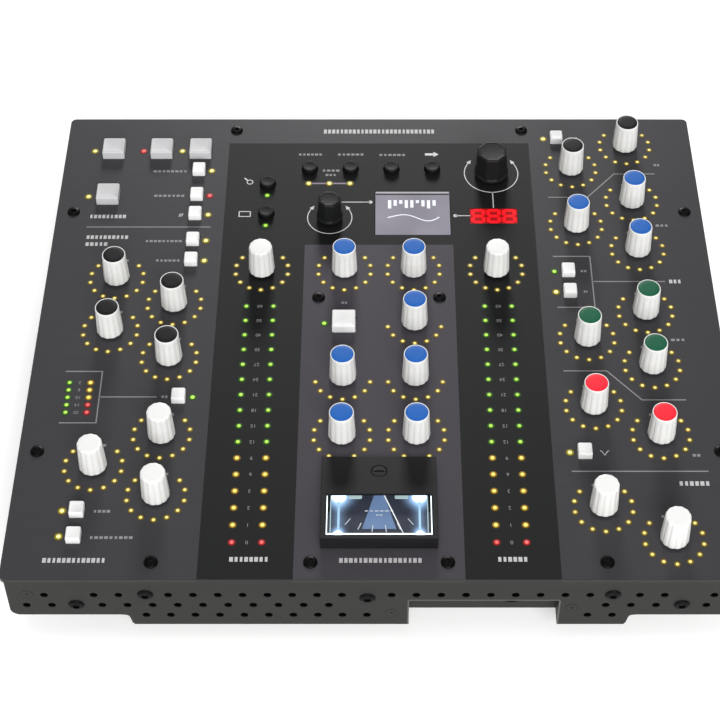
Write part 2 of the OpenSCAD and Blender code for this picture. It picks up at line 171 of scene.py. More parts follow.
def loft(loops):
    """Closed skin over loops of points (in mm) that all have the same number of points."""
    shape = Shape()
    count = len(loops[0])
    for loop in loops:
        shape.add([(x * MM, y * MM, z * MM) for x, y, z in loop], [])
    for k in range(len(loops) - 1):
        for i in range(count):
            j = (i + 1) % count
            a, b = k * count, (k + 1) * count
            shape.faces.append([a + i, a + j, b + j, b + i])
    shape.faces.append(list(range(count))[::-1])
    last = (len(loops) - 1) * count
    shape.faces.append([last + i for i in range(count)])
    return shape


def slab(outline, z0, z1):
    """Flat plate from an outline in mm."""
    return loft([[(x, y, z0) for x, y in outline], [(x, y, z1) for x, y in outline]])


def mark(outline, z=0.0):
    """Printed patch with an outline in mm."""
    return slab(outline, z, z + PRINT_T)


def strip(points, width, z0=0.0):
    """Thin flat line of a constant width along points in mm, mitred at its corners."""
    left, right = [], []
    half = width / 2
    for i, p in enumerate(points):
        before = Vector(points[i - 1]) if i > 0 else None
        after = Vector(points[i + 1]) if i < len(points) - 1 else None
        here = Vector(p)
        d1 = (here - before).normalized() if before is not None else (after - here).normalized()
        d2 = (after - here).normalized() if after is not None else d1
        n1 = Vector((-d1.y, d1.x))
        n2 = Vector((-d2.y, d2.x))
        miter = (n1 + n2).normalized()
        reach = half / max(0.3, miter.dot(n1))
        left.append(here + miter * reach)
        right.append(here - miter * reach)
    shape = Shape()
    count = len(points)
    for z in (z0, z0 + PRINT_T):
        shape.add([(p.x * MM, p.y * MM, z * MM) for p in right], [])
        shape.add([(p.x * MM, p.y * MM, z * MM) for p in left], [])
    for i in range(count - 1):
        r0, l0, r1, l1 = i, count + i, 2 * count + i, 3 * count + i
        shape.faces.append([r0, l0, l0 + 1, r0 + 1])
        shape.faces.append([r1, r1 + 1, l1 + 1, l1])
        shape.faces.append([r0, r0 + 1, r1 + 1, r1])
        shape.faces.append([l0, l1, l1 + 1, l0 + 1])
    shape.faces.append([0, 2 * count, 3 * count, count])
    e = count - 1
    shape.faces.append([e, count + e, 3 * count + e, 2 * count + e])
    return shape


def arc_points(x, y, r, start, end, steps):
    """Points of an arc in mm; the angles are in degrees, anticlockwise from +X."""
    points = []
    for i in range(steps + 1):
        a = math.radians(start + (end - start) * i / steps)
        points.append((x + r * math.cos(a), y + r * math.sin(a)))
    return points


def evaluated_mesh(item):
    """Mesh of an object with its modifiers applied."""
    bpy.context.view_layer.update()
    return bpy.data.meshes.new_from_object(item.evaluated_get(bpy.context.evaluated_depsgraph_get()))


def number_shape(text, size, x, y):
    """Flat digits centred on x, y, with size their height in mm."""
    curve = bpy.data.curves.new("digits_" + text, "FONT")
    curve.body = text
    curve.size = size * MM * 1.4
    curve.align_x = "CENTER"
    curve.align_y = "CENTER"
    curve.extrude = PRINT_T * MM / 2
    curve.resolution_u = 3
    holder = bpy.data.objects.new("digits_" + text, curve)
    bpy.context.scene.collection.objects.link(holder)
    mesh = evaluated_mesh(holder)
    shape = Shape()
    place = Matrix.Translation((x * MM, y * MM, PRINT_T * MM / 2))
    shape.add([v.co for v in mesh.vertices], [list(p.vertices) for p in mesh.polygons], 0.0, place)
    bpy.data.objects.remove(holder)
    bpy.data.curves.remove(curve)
    bpy.data.meshes.remove(mesh)
    return shape


def carved(base, cutters, bevel, sharp=30):
    """Mesh of base with the cutters taken out, its edges rounded by bevel mm and its broad faces flat."""
    holders = []
    for i, shape in enumerate([base] + cutters):
        holder = bpy.data.objects.new(f"carve_{i}", shape.mesh(f"carve_{i}"))
        bpy.context.scene.collection.objects.link(holder)
        holders.append(holder)
    body = holders[0]
    for cutter in holders[1:]:
        cut = body.modifiers.new("cut", "BOOLEAN")
        cut.operation = "DIFFERENCE"
        cut.solver = "EXACT"
        cut.object = cutter
    soften = body.modifiers.new("soften", "BEVEL")
    soften.width = bevel * MM
    soften.segments = 3
    soften.limit_method = "ANGLE"
    soften.angle_limit = math.radians(sharp)
    mesh = evaluated_mesh(body)
    for holder in holders:
        bpy.data.objects.remove(holder)
    mesh.shade_smooth()
    mesh.set_sharp_from_angle(angle=math.radians(sharp))
    broad = 3.0 * MM * MM
    for face in mesh.polygons:
        if face.area > broad:
            face.use_smooth = False
    return mesh


def piece(name, mesh, material, body="root", at=None, replaces=()):
    """Object made from a mesh or a Shape, riding on a CAD body."""
    if isinstance(mesh, Shape):
        mesh = mesh.mesh(name)
    if not mesh.materials:
        mesh.materials.append(material)
    item = bpy.data.objects.new(name, mesh)
    bpy.context.scene.collection.objects.link(item)
    if at is not None:
        item.matrix_world = at
    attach(item, body)
    if replaces:
        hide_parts(*replaces)
    return item


# ---- materials


class Graph:
    """Small helper for building a material's nodes."""

    def __init__(self, name):
        self.material = bpy.data.materials.new(name)
        self.material.use_nodes = True
        self.tree = self.material.node_tree
        self.shader = self.tree.nodes["Principled BSDF"]
        coords = self.tree.nodes.new("ShaderNodeTexCoord")
        self.coords = coords.outputs["Object"]

    def node(self, kind, inputs=None, **settings):
        made = self.tree.nodes.new(kind)
        for key, value in settings.items():
            setattr(made, key, value)
        for key, value in (inputs or {}).items():
            self.put(made.inputs[key], value)
        return made

    def put(self, socket, value):
        if isinstance(value, bpy.types.NodeSocket):
            self.tree.links.new(value, socket)
        else:
            socket.default_value = value

    def math(self, operation, a, b=0.0):
        made = self.node("ShaderNodeMath", operation=operation)
        self.put(made.inputs[0], a)
        self.put(made.inputs[1], b)
        return made.outputs[0]

    def plus(self, a, b):
        return self.math("ADD", a, b)

    def minus(self, a, b):
        return self.math("SUBTRACT", a, b)

    def times(self, a, b):
        return self.math("MULTIPLY", a, b)

    def over(self, value, limit):
        return self.math("GREATER_THAN", value, limit)

    def under(self, value, limit):
        return self.math("LESS_THAN", value, limit)

    def xyz(self):
        """The three object coordinates, in metres."""
        return self.node("ShaderNodeSeparateXYZ", {"Vector": self.coords}).outputs

    def noise(self, per_mm, detail=3.0, stretch=(1, 1, 1)):
        """Noise with about per_mm features per millimetre, squeezed along each axis by stretch."""
        scaled = self.node("ShaderNodeMapping", {"Vector": self.coords, "Scale": stretch})
        inputs = {"Vector": scaled.outputs[0], "Scale": per_mm / MM, "Detail": detail}
        return self.node("ShaderNodeTexNoise", inputs).outputs[0]

    def span(self, value, low, high, from_low=0.0, from_high=1.0):
        made = self.node("ShaderNodeMapRange")
        self.put(made.inputs[0], value)
        for i, v in enumerate((from_low, from_high, low, high)):
            self.put(made.inputs[i + 1], v)
        return made.outputs[0]

    def mix(self, factor, a, b):
        made = self.node("ShaderNodeMix", data_type="RGBA")
        self.put(made.inputs[0], factor)
        self.put(made.inputs[6], a)
        self.put(made.inputs[7], b)
        return made.outputs[2]

    def tone(self):
        return self.node("ShaderNodeAttribute", attribute_name="tone").outputs["Fac"]

    def edges(self):
        """1 on raised edges and 0 elsewhere."""
        pointed = self.node("ShaderNodeNewGeometry").outputs["Pointiness"]
        return self.span(pointed, 0.0, 1.0, 0.52, 0.6)

    def set(self, **inputs):
        names = {
            "colour": "Base Color", "rough": "Roughness", "metal": "Metallic", "soft": "Subsurface Weight",
            "specular": "Specular IOR Level", "glow": "Emission Color", "glow_power": "Emission Strength",
            "alpha": "Alpha", "ior": "IOR",
        }
        for key, value in inputs.items():
            self.put(self.shader.inputs[names[key]], value)
        return self

    def bump(self, height, depth_mm, strength=1.0):
        inputs = {"Height": height, "Distance": depth_mm * MM, "Strength": strength}
        self.put(self.shader.inputs["Normal"], self.node("ShaderNodeBump", inputs).outputs[0])
        return self


def colour(r, g, b):
    return (r, g, b, 1.0)


def darker(c, k):
    return (c[0] * k, c[1] * k, c[2] * k, 1.0)


def moulded(name, base, rough, soft=0.0, grain=4.0, depth=0.02, wear_and_highlight=1.25, specular=0.35):
    """Moulded plastic: faint mottling, fine grain, raised edges a little lighter, partly for wear and partly
    as a painted highlight.
    """
    g = Graph(name)
    cloud = g.noise(0.12, 4)
    body = g.mix(g.span(cloud, 0, 1, 0.3, 0.7), darker(base, 0.93), base)
    wear_and_highlight_colour = tuple(min(1.0, v * wear_and_highlight) for v in base[:3]) + (1.0,)
    # painted highlight and wear: raised edges mixed towards a lighter colour
    g.set(colour=g.mix(g.times(g.edges(), 0.5), body, wear_and_highlight_colour))
    g.set(rough=g.span(g.noise(1.5, 3), rough - 0.07, rough + 0.07), soft=soft, specular=specular)
    if soft:
        g.shader.inputs["Subsurface Radius"].default_value = (1.0, 0.9, 0.8)
        g.shader.inputs["Subsurface Scale"].default_value = 0.6 * MM
    g.bump(g.noise(grain, 2), depth)
    return g.material


def knob_white():
    """White fluted plastic, darker towards the bottoms of its flutes; tone is 1 in the flutes' bottoms."""
    g = Graph("knob_white")
    cloud = g.span(g.noise(0.1, 4), 0, 1, 0.3, 0.7)
    body = g.mix(cloud, colour(0.80, 0.80, 0.785), colour(0.86, 0.86, 0.85))
    # darker towards the bottoms of the flutes, by a varying amount
    flute_darkening = g.times(g.tone(), g.span(g.noise(0.35, 4), 0.25, 0.6))
    g.set(colour=g.mix(flute_darkening, body, colour(0.56, 0.55, 0.53)))
    g.set(rough=g.span(g.noise(1.2, 3), 0.32, 0.46), soft=0.15)
    g.shader.inputs["Subsurface Radius"].default_value = (1.0, 0.9, 0.8)
    g.shader.inputs["Subsurface Scale"].default_value = 0.5 * MM
    g.bump(g.noise(3.5, 2), 0.012)
    return g.material


ZONE_HALF_W = 72.0
ZONE_FRONT = -116.0
ISLAND_HALF_W = 34.0
ISLAND_FRONT = -48.6
PANEL_REAR = 132.85


def panel_paint():
    """Brushed charcoal panel with a darker, rougher middle zone round the lighter bus island."""
    g = Graph("panel_paint")
    x, y = g.xyz()[:2]
    x = g.math("ABSOLUTE", x)
    soft_edge = 0.05 * MM

    def inside(value, limit, below=True):
        sign = -1.0 if below else 1.0
        gap = g.times(g.minus(value, limit), sign / soft_edge)
        made = g.plus(gap, 0.5)
        return g.node("ShaderNodeClamp", {"Value": made}).outputs[0]

    strip_zone = g.times(inside(x, ZONE_HALF_W * MM), inside(y, ZONE_FRONT * MM, False))
    island = g.times(inside(x, ISLAND_HALF_W * MM), inside(y, ISLAND_FRONT * MM, False))
    zone = g.times(strip_zone, g.minus(1.0, island))
    brushed = g.noise(1.6, 3, (0.03, 1.0, 1.0))
    cloud = g.noise(0.02, 3)
    light = g.mix(brushed, colour(0.036, 0.0348, 0.0382), colour(0.044, 0.0424, 0.0462))
    light = g.mix(g.span(cloud, 0.0, 0.35, 0.35, 0.7), light, colour(0.042, 0.0400, 0.0440))
    light = g.mix(island, light, colour(0.052, 0.0470, 0.0565))
    dark = g.mix(brushed, colour(0.0033, 0.0036, 0.0040), colour(0.0056, 0.0060, 0.0064))
    top_face = inside(y, PANEL_REAR * MM)
    g.set(colour=g.mix(top_face, colour(0.021, 0.021, 0.020), g.mix(zone, light, dark)))
    rough_light = g.span(brushed, 0.33, 0.44)
    rough_dark = g.span(g.noise(0.6, 3), 0.52, 0.60)
    change = g.times(zone, g.minus(rough_dark, rough_light))
    g.set(rough=g.plus(rough_light, change))
    g.set(specular=0.2)
    g.bump(brushed, 0.006)
    return g.material


def powder_coat(name, base, rough=0.55, specular=0.15, wear_and_highlight=None, inside=None, edge_highlight=None):
    """Fine-textured powder coat on sheet metal, its raised edges painted lighter, partly for wear and partly
    as a painted highlight.

    inside(g) is 1 on the faces inside, which are painted near black as shade; the highlight mask is 1 where
    the coat is painted lighter as a highlight.
    """
    g = Graph(name)
    grain = g.noise(2.2, 3)
    cloud = g.span(g.noise(0.05, 4), 0, 1, 0.3, 0.7)
    body = g.mix(cloud, darker(base, 0.9), darker(base, 1.12))
    # painted highlight and wear: raised edges mixed towards a lighter colour
    shade = g.mix(g.times(g.edges(), 0.7), body, wear_and_highlight or darker(base, 2.6))
    if inside:
        # painted shade: the faces inside go near black
        shade = g.mix(inside(g), shade, darker(base, 0.06))
    if edge_highlight:
        # painted highlight: the coat lighter along a cut edge
        shade = g.mix(g.times(edge_highlight(g), 0.8), shade, colour(0.11, 0.11, 0.10))
    g.set(colour=shade, rough=g.span(grain, rough - 0.1, rough + 0.1), specular=specular)
    g.bump(grain, 0.03, 0.7)
    return g.material


BAY_ROOF = 28.3
BAY_LEFT = -72.1
BAY_RIGHT = -12.0
BAY_DEEPEST = 121.5
HIGHLIGHT_WIDTH = 0.6  # width of the painted highlight along the bay's cut edge, mm


def tray_rubbed(g):
    """1 along the cut edge round the connector bay, where the coat is painted lighter as a highlight."""
    x, y, z = g.xyz()

    def near(value, place):
        gap = g.math("ABSOLUTE", g.minus(value, place * MM))
        return g.under(gap, HIGHLIGHT_WIDTH * MM)

    middle = (BAY_LEFT + BAY_RIGHT) / 2
    reach = (BAY_RIGHT - BAY_LEFT) / 2 + 0.25
    across = g.under(g.math("ABSOLUTE", g.minus(x, middle * MM)), reach * MM)
    roof = g.times(near(z, BAY_ROOF), across)
    sides = g.math("MAXIMUM", near(x, BAY_LEFT), near(x, BAY_RIGHT))
    sides = g.times(sides, g.under(z, BAY_ROOF * MM))
    skin = g.over(y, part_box("base_tray")[1].y - HIGHLIGHT_WIDTH * MM)
    return g.times(skin, g.math("MAXIMUM", roof, sides))


def tray_inside(g):
    """1 on the faces inside the tray, which see no light through its holes."""
    low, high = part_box("base_tray")
    wall = 1.4 * MM
    skin = 0.35 * MM
    floor_step = 8.5 * MM
    middle_half_w = 97 * MM
    x, y, z = g.xyz()
    side = g.math("ABSOLUTE", x)
    within = g.times(g.under(side, high.x - wall), g.under(g.math("ABSOLUTE", y), high.y - skin))
    outer = g.over(z, low.z + floor_step)
    middle = g.times(g.over(z, low.z + wall), g.under(side, middle_half_w))
    bay = g.times(g.over(y, BAY_DEEPEST * MM), g.over(x, (BAY_LEFT - 1.9) * MM))
    bay = g.times(bay, g.under(x, (BAY_RIGHT + 2.0) * MM))
    bay = g.times(bay, g.under(z, (BAY_ROOF + 0.6) * MM))
    within = g.times(within, g.minus(1.0, bay))
    return g.times(within, g.math("MAXIMUM", outer, middle))


def steel(name, base, rough):
    """Turned or plated metal with fine streaks."""
    g = Graph(name)
    lines = g.noise(5.0, 2, (1, 1, 0.1))
    g.set(colour=g.mix(lines, darker(base, 0.8), base), metal=1.0)
    g.set(rough=g.span(lines, rough - 0.08, rough + 0.1))
    g.bump(lines, 0.004)
    return g.material


def board_parts():
    """Green board with black and grey parts on it and dark sockets, told apart by their places."""
    g = Graph("board_parts")
    y, z = g.xyz()[1:]
    board_top = 34.62 * MM
    sockets = g.times(g.over(y, 100 * MM), g.under(z, 30 * MM))
    above = g.math("MAXIMUM", sockets, g.over(z, board_top))
    green = g.mix(g.noise(0.5, 4), colour(0.01, 0.07, 0.03), colour(0.02, 0.11, 0.05))
    patches = g.span(g.noise(0.04, 1), 0, 1, 0.45, 0.55)
    parts = g.mix(patches, colour(0.02, 0.02, 0.02), colour(0.09, 0.09, 0.1))
    g.set(colour=g.mix(above, green, parts), rough=g.span(g.noise(1.0, 2), 0.3, 0.55))
    g.bump(g.noise(2.0, 2), 0.02)
    return g.material


def lamp_glow(name, core, ring, power):
    """Lit light guide. tone runs from 0 at the dark rim to 1 at the bright core."""
    g = Graph(name)
    tone = g.tone()
    flicker = g.span(g.noise(0.25, 1), 0.85, 1.12, 0.3, 0.7)
    shade = g.mix(g.span(tone, 0.0, 1.0, 0.45, 0.9), ring, core)
    rim_strength = g.span(tone, 0.1, 1.0, 0.0, 0.45)
    strength = g.plus(rim_strength, g.span(tone, 0.0, power - 1.0, 0.45, 0.9))
    g.set(colour=darker(ring, 0.4), rough=g.span(g.noise(2.0, 1), 0.35, 0.5), specular=0.2, glow=shade)
    g.set(glow_power=g.times(flicker, strength))
    g.bump(g.noise(3.0, 1), 0.004)
    return g.material


def flat_light(name, base, glow, power):
    """Evenly lit surface with a slight unevenness of its backlight."""
    g = Graph(name)
    uneven = g.span(g.noise(0.05, 2), 0.85, 1.1, 0.3, 0.7)
    g.set(colour=base, rough=0.3, specular=0.15, glow=glow, glow_power=g.times(uneven, power))
    g.bump(g.noise(3.0, 1), 0.003)
    return g.material


def printed(name, base):
    """Screen-printed ink, slightly uneven."""
    g = Graph(name)
    thin = g.span(g.noise(1.2, 3), 0, 1, 0.35, 0.75)
    g.set(colour=g.mix(thin, darker(base, 0.75), base), rough=g.span(g.noise(2.0, 2), 0.45, 0.6))
    g.bump(g.noise(4.0, 1), 0.004)
    return g.material


def clear_pane(name, tint):
    """Clear moulded window with faint scuffs."""
    g = Graph(name)
    scuff = g.noise(1.2, 4, (0.2, 1, 1))
    g.set(colour=tint, rough=g.span(scuff, 0.05, 0.13, 0.5, 0.8), alpha=0.12, ior=1.49)
    return g.material


PANEL = panel_paint()
# tray: painted shade on the faces inside it and a painted highlight along the connector bay's cut edge
TRAY = powder_coat("tray_paint", colour(0.0115, 0.0115, 0.011), inside=tray_inside, edge_highlight=tray_rubbed)
STUD = powder_coat("stud_paint", colour(0.024, 0.024, 0.023))
BOARD = board_parts()
WHITE = knob_white()
INSERTS = {
    "black": moulded("insert_black", colour(0.0045, 0.0045, 0.005), 0.55, specular=0.19),
    "blue": moulded("insert_blue", colour(0.010, 0.115, 0.45), 0.5, specular=0.25),
    "green": moulded("insert_green", colour(0.002, 0.10, 0.045), 0.5, specular=0.25),
    "red": moulded("insert_red", colour(0.92, 0.018, 0.038), 0.5, wear_and_highlight=1.05, specular=0.25),
}
SHAFT_STEEL = steel("shaft_steel", colour(0.62, 0.62, 0.60), 0.3)
# edge colour of the screws: partly wear, partly a painted highlight on their rims and sockets
SCREW_EDGE_WEAR_AND_HIGHLIGHT = colour(0.010, 0.010, 0.0105)
SCREW_BLACK = powder_coat("screw_black", colour(0.001, 0.001, 0.001), 0.32, 0.09, SCREW_EDGE_WEAR_AND_HIGHLIGHT)
SELECTOR_BLACK = moulded("selector_black", colour(0.0095, 0.010, 0.0105), 0.5, wear_and_highlight=2.2, specular=0.17)
BUTTON_BLACK = moulded("button_black", colour(0.006, 0.006, 0.007), 0.5, wear_and_highlight=1.8, specular=0.15)
KEY_GREY = moulded("key_grey", colour(0.555, 0.555, 0.565), 0.45, soft=0.1, wear_and_highlight=1.6)
KEY_WHITE = moulded("key_white", colour(0.87, 0.87, 0.865), 0.4, soft=0.15)
METER_BLACK = moulded("meter_black", colour(0.0065, 0.0065, 0.0075), 0.6, wear_and_highlight=2.4, specular=0.2)
RUBBER = moulded("foot_rubber", colour(0.018, 0.018, 0.018), 0.75, grain=2.0, depth=0.05, wear_and_highlight=1.6)
PRINT = printed("print_white", colour(0.72, 0.72, 0.72))
PRINT_TEXT = printed("print_text", colour(0.56, 0.56, 0.565))
PRINT_DIM = printed("print_dim", colour(0.27, 0.265, 0.27))
LILAC = printed("print_lilac", colour(0.30, 0.22, 0.32))
AMBER = lamp_glow("lamp_amber", colour(1.0, 0.86, 0.30), colour(0.19, 0.13, 0.006), 1.12)
YELLOW = lamp_glow("lamp_yellow", colour(1.0, 0.93, 0.40), colour(0.27, 0.22, 0.010), 1.35)
ORANGE = lamp_glow("lamp_orange", colour(1.0, 0.82, 0.20), colour(0.30, 0.17, 0.006), 1.35)
GREEN = lamp_glow("lamp_green", colour(0.58, 1.0, 0.12), colour(0.03, 0.11, 0.008), 1.05)
RED = lamp_glow("lamp_red", colour(1.0, 0.17, 0.16), colour(0.30, 0.012, 0.012), 1.1)
SCREEN_LIT = flat_light("screen_lit", colour(0.03, 0.03, 0.03), colour(0.27, 0.255, 0.31), 1.0)
SCREEN_INK = flat_light("screen_ink", colour(0.2, 0.2, 0.2), colour(0.85, 0.88, 0.95), 1.0)
SCREEN_EDGE = flat_light("screen_edge", colour(0.1, 0.1, 0.1), colour(0.36, 0.35, 0.39), 1.0)
SCREEN_DARK = flat_light("screen_dark", colour(0.01, 0.01, 0.01), colour(0.012, 0.012, 0.014), 1.0)
DIGIT_RED = flat_light("digit_red", colour(0.1, 0.001, 0.001), colour(1.0, 0.006, 0.012), 1.5)
DIGIT_DARK = flat_light("digit_window", colour(0.02, 0.001, 0.001), colour(0.36, 0.003, 0.005), 1.0)
COOL = flat_light("light_cool", colour(0.8, 0.85, 0.9), colour(0.80, 0.93, 1.0), 2.2)
COOL_DIM = flat_light("light_cool_dim", colour(0.1, 0.12, 0.2), colour(0.12, 0.22, 0.40), 1.0)
COOL_SOFT = flat_light("light_cool_soft", colour(0.3, 0.4, 0.5), colour(0.42, 0.74, 1.0), 0.95)
COOL_PALE = flat_light("light_cool_pale", colour(0.3, 0.35, 0.35), colour(0.42, 0.60, 0.60), 1.0)
DIAL_INK = flat_light("dial_ink", colour(0.5, 0.5, 0.5), colour(0.45, 0.52, 0.60), 1.0)
# the needle's glow is painted light from the meter's lamps
NEEDLE = flat_light("needle_white", colour(0.85, 0.85, 0.83), colour(0.9, 0.95, 1.0), 0.9)


def paint_cad_nodes():
    """Gives the CAD nodes that stay in view their materials."""
    for node, material in (("top_panel", PANEL), ("base_tray", TRAY), ("control_board", BOARD)):
        item = frame["nodes"][node]
        item.data.materials.clear()
        item.data.materials.append(material)


# ---- knobs


FLUTES = 12
FLUTE_CUT = 0.042


def flute_swell(fade_top):
    """Swell of broad convex lobes with narrow valleys, which fade out over the 3 mm below fade_top."""

    def swell(angle, z):
        fade = max(0.0, min(1.0, (fade_top - z) / 3.0)) * min(1.0, max(0.0, z - 0.9) / 0.4 + 0.6)
        lobe = abs(math.cos(FLUTES * angle / 2)) ** 0.6
        return 1.0 - FLUTE_CUT * fade * (1.0 - lobe)

    return swell


def knob_body_mesh(plain):
    """Fluted body. A plain one has a closed, gently domed top with its flutes cut right through."""
    wall = [(3.15, 10.9), (3.15, 1.25), (5.6, 1.2), (5.78, 1.3), (5.84, 1.6)]
    for i in range(1, 10):
        t = i / 10
        wall.append((5.84 - 0.62 * t, 1.6 + 13.2 * t))
    if plain:
        top = [
            (5.2, 14.8), (5.16, 15.15), (5.02, 15.5), (4.78, 15.72), (4.4, 15.85), (3.9, 15.91),
            (2.5, 15.97), (0, 16.0),
        ]
        swell = flute_swell(18.6)
    else:
        top = [
            (5.21, 14.9), (5.2, 15.3), (5.15, 15.6), (5.06, 15.78), (4.97, 15.83), (4.9, 15.82),
            (4.76, 15.76), (4.71, 15.6), (4.71, 14.9), (0, 14.85),
        ]
        swell = flute_swell(15.0)
    shape = lathe([(0, 10.9)] + wall + top, FLUTES * 12, swell)
    for i, v in enumerate(shape.verts):
        a = math.atan2(v.y, v.x)
        z = v.z / MM
        inside = math.hypot(v.x, v.y) < 4.9 * MM
        shape.tone[i] = 0.0 if inside else (1.0 - swell(a, z)) / FLUTE_CUT
    return shape.mesh("knob_body_plain" if plain else "knob_body", 50)


def insert_mesh():
    """Coloured disc pressed into the top of a knob, with a slightly domed middle."""
    profile = [
        (0, 14.9), (4.67, 14.9), (4.67, 15.7), (4.6, 15.84), (4.4, 15.93), (2.8, 15.98), (0, 15.99),
    ]
    return lathe(profile, 72).mesh("knob_insert", 50)


def shaft_mesh(top):
    """Flattened steel shaft with a chamfered end."""
    shape = lathe([(0, -9.2), (2.98, -9.2), (2.98, top - 0.4), (2.6, top), (0, top)], 48)
    for v in shape.verts:
        if v.z > 2.2 * MM:
            v.x = min(v.x, 1.58 * MM)
    return shape.mesh("shaft", 30)


def insert_colour(node):
    if node.startswith("low_mid") or node.startswith("bus"):
        return "blue"
    if node.startswith("high_mid"):
        return "green"
    if node in ("high_gain_knob", "high_frequency_knob"):
        return "red"
    if node.startswith("gate") or node in ("low_gain_knob", "low_frequency_knob"):
        return "black"
    return None


def build_knobs():
    bodies = {True: knob_body_mesh(True), False: knob_body_mesh(False)}
    shaft = shaft_mesh(10.8)
    discs = {}
    for name, material in INSERTS.items():
        discs[name] = insert_mesh()
        discs[name].materials.append(material)
    for node in KNOBS:
        x, y = centre(node)
        spin = Matrix.Rotation(random.uniform(0, math.tau / FLUTES), 4, "Z")
        at = Matrix.Translation((x, y, PANEL_Z)) @ spin
        insert = insert_colour(node)
        piece(node + "_body", bodies[insert is None], WHITE, node, at, [node])
        piece(node + "_shaft", shaft, SHAFT_STEEL, node, at)
        if insert:
            piece(node + "_insert", discs[insert], INSERTS[insert], node, at)


FACETS = 8


def facet_scale(angle):
    """Radius of a regular polygon with FACETS sides, where 1 is its corner."""
    half = math.pi / FACETS
    return math.cos(half) / math.cos(angle % (2 * half) - half)


def build_selectors():
    """Two black rotary selectors: a round skirt, flat-sided above it, with a softened top."""
    for node in SELECTORS:
        low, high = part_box(node)
        x, y = centre(node)
        h = (high.z - PANEL_Z) / MM
        foot = (high.x - low.x) / MM / 2
        top = foot - 0.75

        def facets(angle, z):
            fade = max(0.0, min(1.0, (z - 2.3) / 0.5))
            return 1.0 - fade * (1.0 - facet_scale(angle))

        profile = [
            (0, 8), (3.15, 8), (3.15, 1.1), (foot - 0.15, 1.0), (foot, 1.15), (foot, 2.1), (foot - 0.1, 2.3),
        ]
        for i in range(9):
            t = i / 8
            profile.append((foot - 0.1 - (foot - 0.1 - top) * t, 2.8 + (h - 3.6) * t))
        profile += [
            (top - 0.08, h - 0.5), (top - 0.3, h - 0.22), (top - 0.65, h - 0.06), (top - 1.0, h),
            (top - 1.4, h - 0.1), (top - 1.8, h - 0.16), (0, h - 0.18),
        ]
        at = Matrix.Translation((x, y, PANEL_Z)) @ Matrix.Rotation(math.radians(22.5), 4, "Z")
        body = lathe(profile, 144, facets).mesh(node + "_body", 18)
        piece(node + "_body", body, SELECTOR_BLACK, node, at, [node])
        piece(node + "_shaft", shaft_mesh(7.8), SHAFT_STEEL, node, at)


# ---- buttons


def key_mesh(w, d, h, dish):
    """Square key with round corners, a softened rim and a top dished from front to rear."""
    drop = 2.8
    corner = 0.62
    softened = 0.48
    levels = [
        (-drop, 0.0), (0.0, 0.0), (h - 0.75, 0.02), (h - 0.4, 0.1), (h - 0.15, 0.24), (h, softened),
    ]
    loops = []
    for z, inset in levels:
        outline = rounded_outline(w - 2 * inset, d - 2 * inset, corner)
        loops.append([(x, y, z) for x, y in outline])
    rim = rounded_outline(w - 2 * softened, d - 2 * softened, corner)
    for k in (0.93, 0.84, 0.7, 0.52, 0.32, 0.14, 0.03):
        loop = []
        for x, y in rim:
            across = 2 * y * k / (d - 2 * softened)
            fade = min(1.0, (1 - k) / 0.16)
            loop.append((x * k, y * k, h - dish * (1 - across * across) * fade))
        loops.append(loop)
    shape = loft(loops)
    flange = rounded_outline(w + 1.5, d + 1.5, 0.5)
    shape.add_shape(slab(flange, -drop - 0.55, -drop + 0.4))
    shape.add_shape(lathe([(0, -5.1), (1.5, -5.1), (1.5, -drop - 0.5), (0, -drop - 0.5)], 24))
    return shape.mesh("key", 38)


def round_button_mesh(r, h):
    """Round button with a soft rim and a shallow dish."""
    profile = [
        (0, -5.1), (1.5, -5.1), (1.5, -3.35), (r + 0.75, -3.35), (r + 0.75, -2.4), (r, -2.4), (r, h - 0.7),
    ]
    for i in range(1, 7):
        a = math.radians(15 * i)
        profile.append((r - 0.55 + 0.55 * math.cos(a), h - 0.7 + 0.6 * math.sin(a)))
    profile += [(r - 1.0, h - 0.13), (r - 1.7, h - 0.22), (r - 2.6, h - 0.28), (0, h - 0.3)]
    return lathe(profile, 64).mesh("round_button", 40)


FLANGES = 1.6  # how much wider a button's hidden flange is than its cap, mm


def build_buttons():
    made = {}
    for node in BUTTONS:
        low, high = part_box(node)
        x, y = centre(node)
        w = (high.x - low.x) / MM - FLANGES
        d = (high.y - low.y) / MM - FLANGES
        h = (high.z - PANEL_Z) / MM
        key = (round(w, 2), round(d, 2), round(h, 2))
        is_round = h < 2.8
        is_large = w > 8
        if key not in made:
            dish = 0.5 if is_large else 0.22
            made[key] = round_button_mesh(w / 2, h) if is_round else key_mesh(w, d, h, dish)
        if is_round:
            material, slot = BUTTON_BLACK, "button_black"
        elif is_large and node != "bus_in_button":
            material, slot = KEY_GREY, "key_grey"
        else:
            material, slot = KEY_WHITE, "key_white"
        piece(node + "_cap", made[key], material, node, Matrix.Translation((x, y, PANEL_Z)), [node])


# ---- lamps


def lamp_shape(core=0.62, rim=1.4):
    """Small domed light guide in a dark ring that catches its light; tone is 1 over the core."""
    profile = [
        (rim, 0.0), (rim, 0.02), (rim - 0.12, 0.035), (core + 0.4, 0.04), (core + 0.2, 0.05),
        (core + 0.05, 0.08), (core - 0.05, 0.14), (core * 0.5, 0.26), (0, 0.3),
    ]
    tones = [0.0, 0.02, 0.1, 0.3, 0.42, 0.62, 1.0, 1.0, 1.0]
    return lathe(profile, 16, None, tones)


LAMP = lamp_shape()
COLUMN_LAMP = lamp_shape(0.75, 1.6)
SIDE_LAMP = lamp_shape(0.85, 1.8)


def lamp_group(name, points, material, model=LAMP):
    """One piece holding a lamp at each (x, y) in metres."""
    shape = Shape()
    for x, y in points:
        shape.add_shape(model, Matrix.Translation((x, y, PANEL_Z + 0.005 * MM)))
    piece(name, shape, material)


RING_STEP = math.radians(26)
RING_R = 12.0 * MM


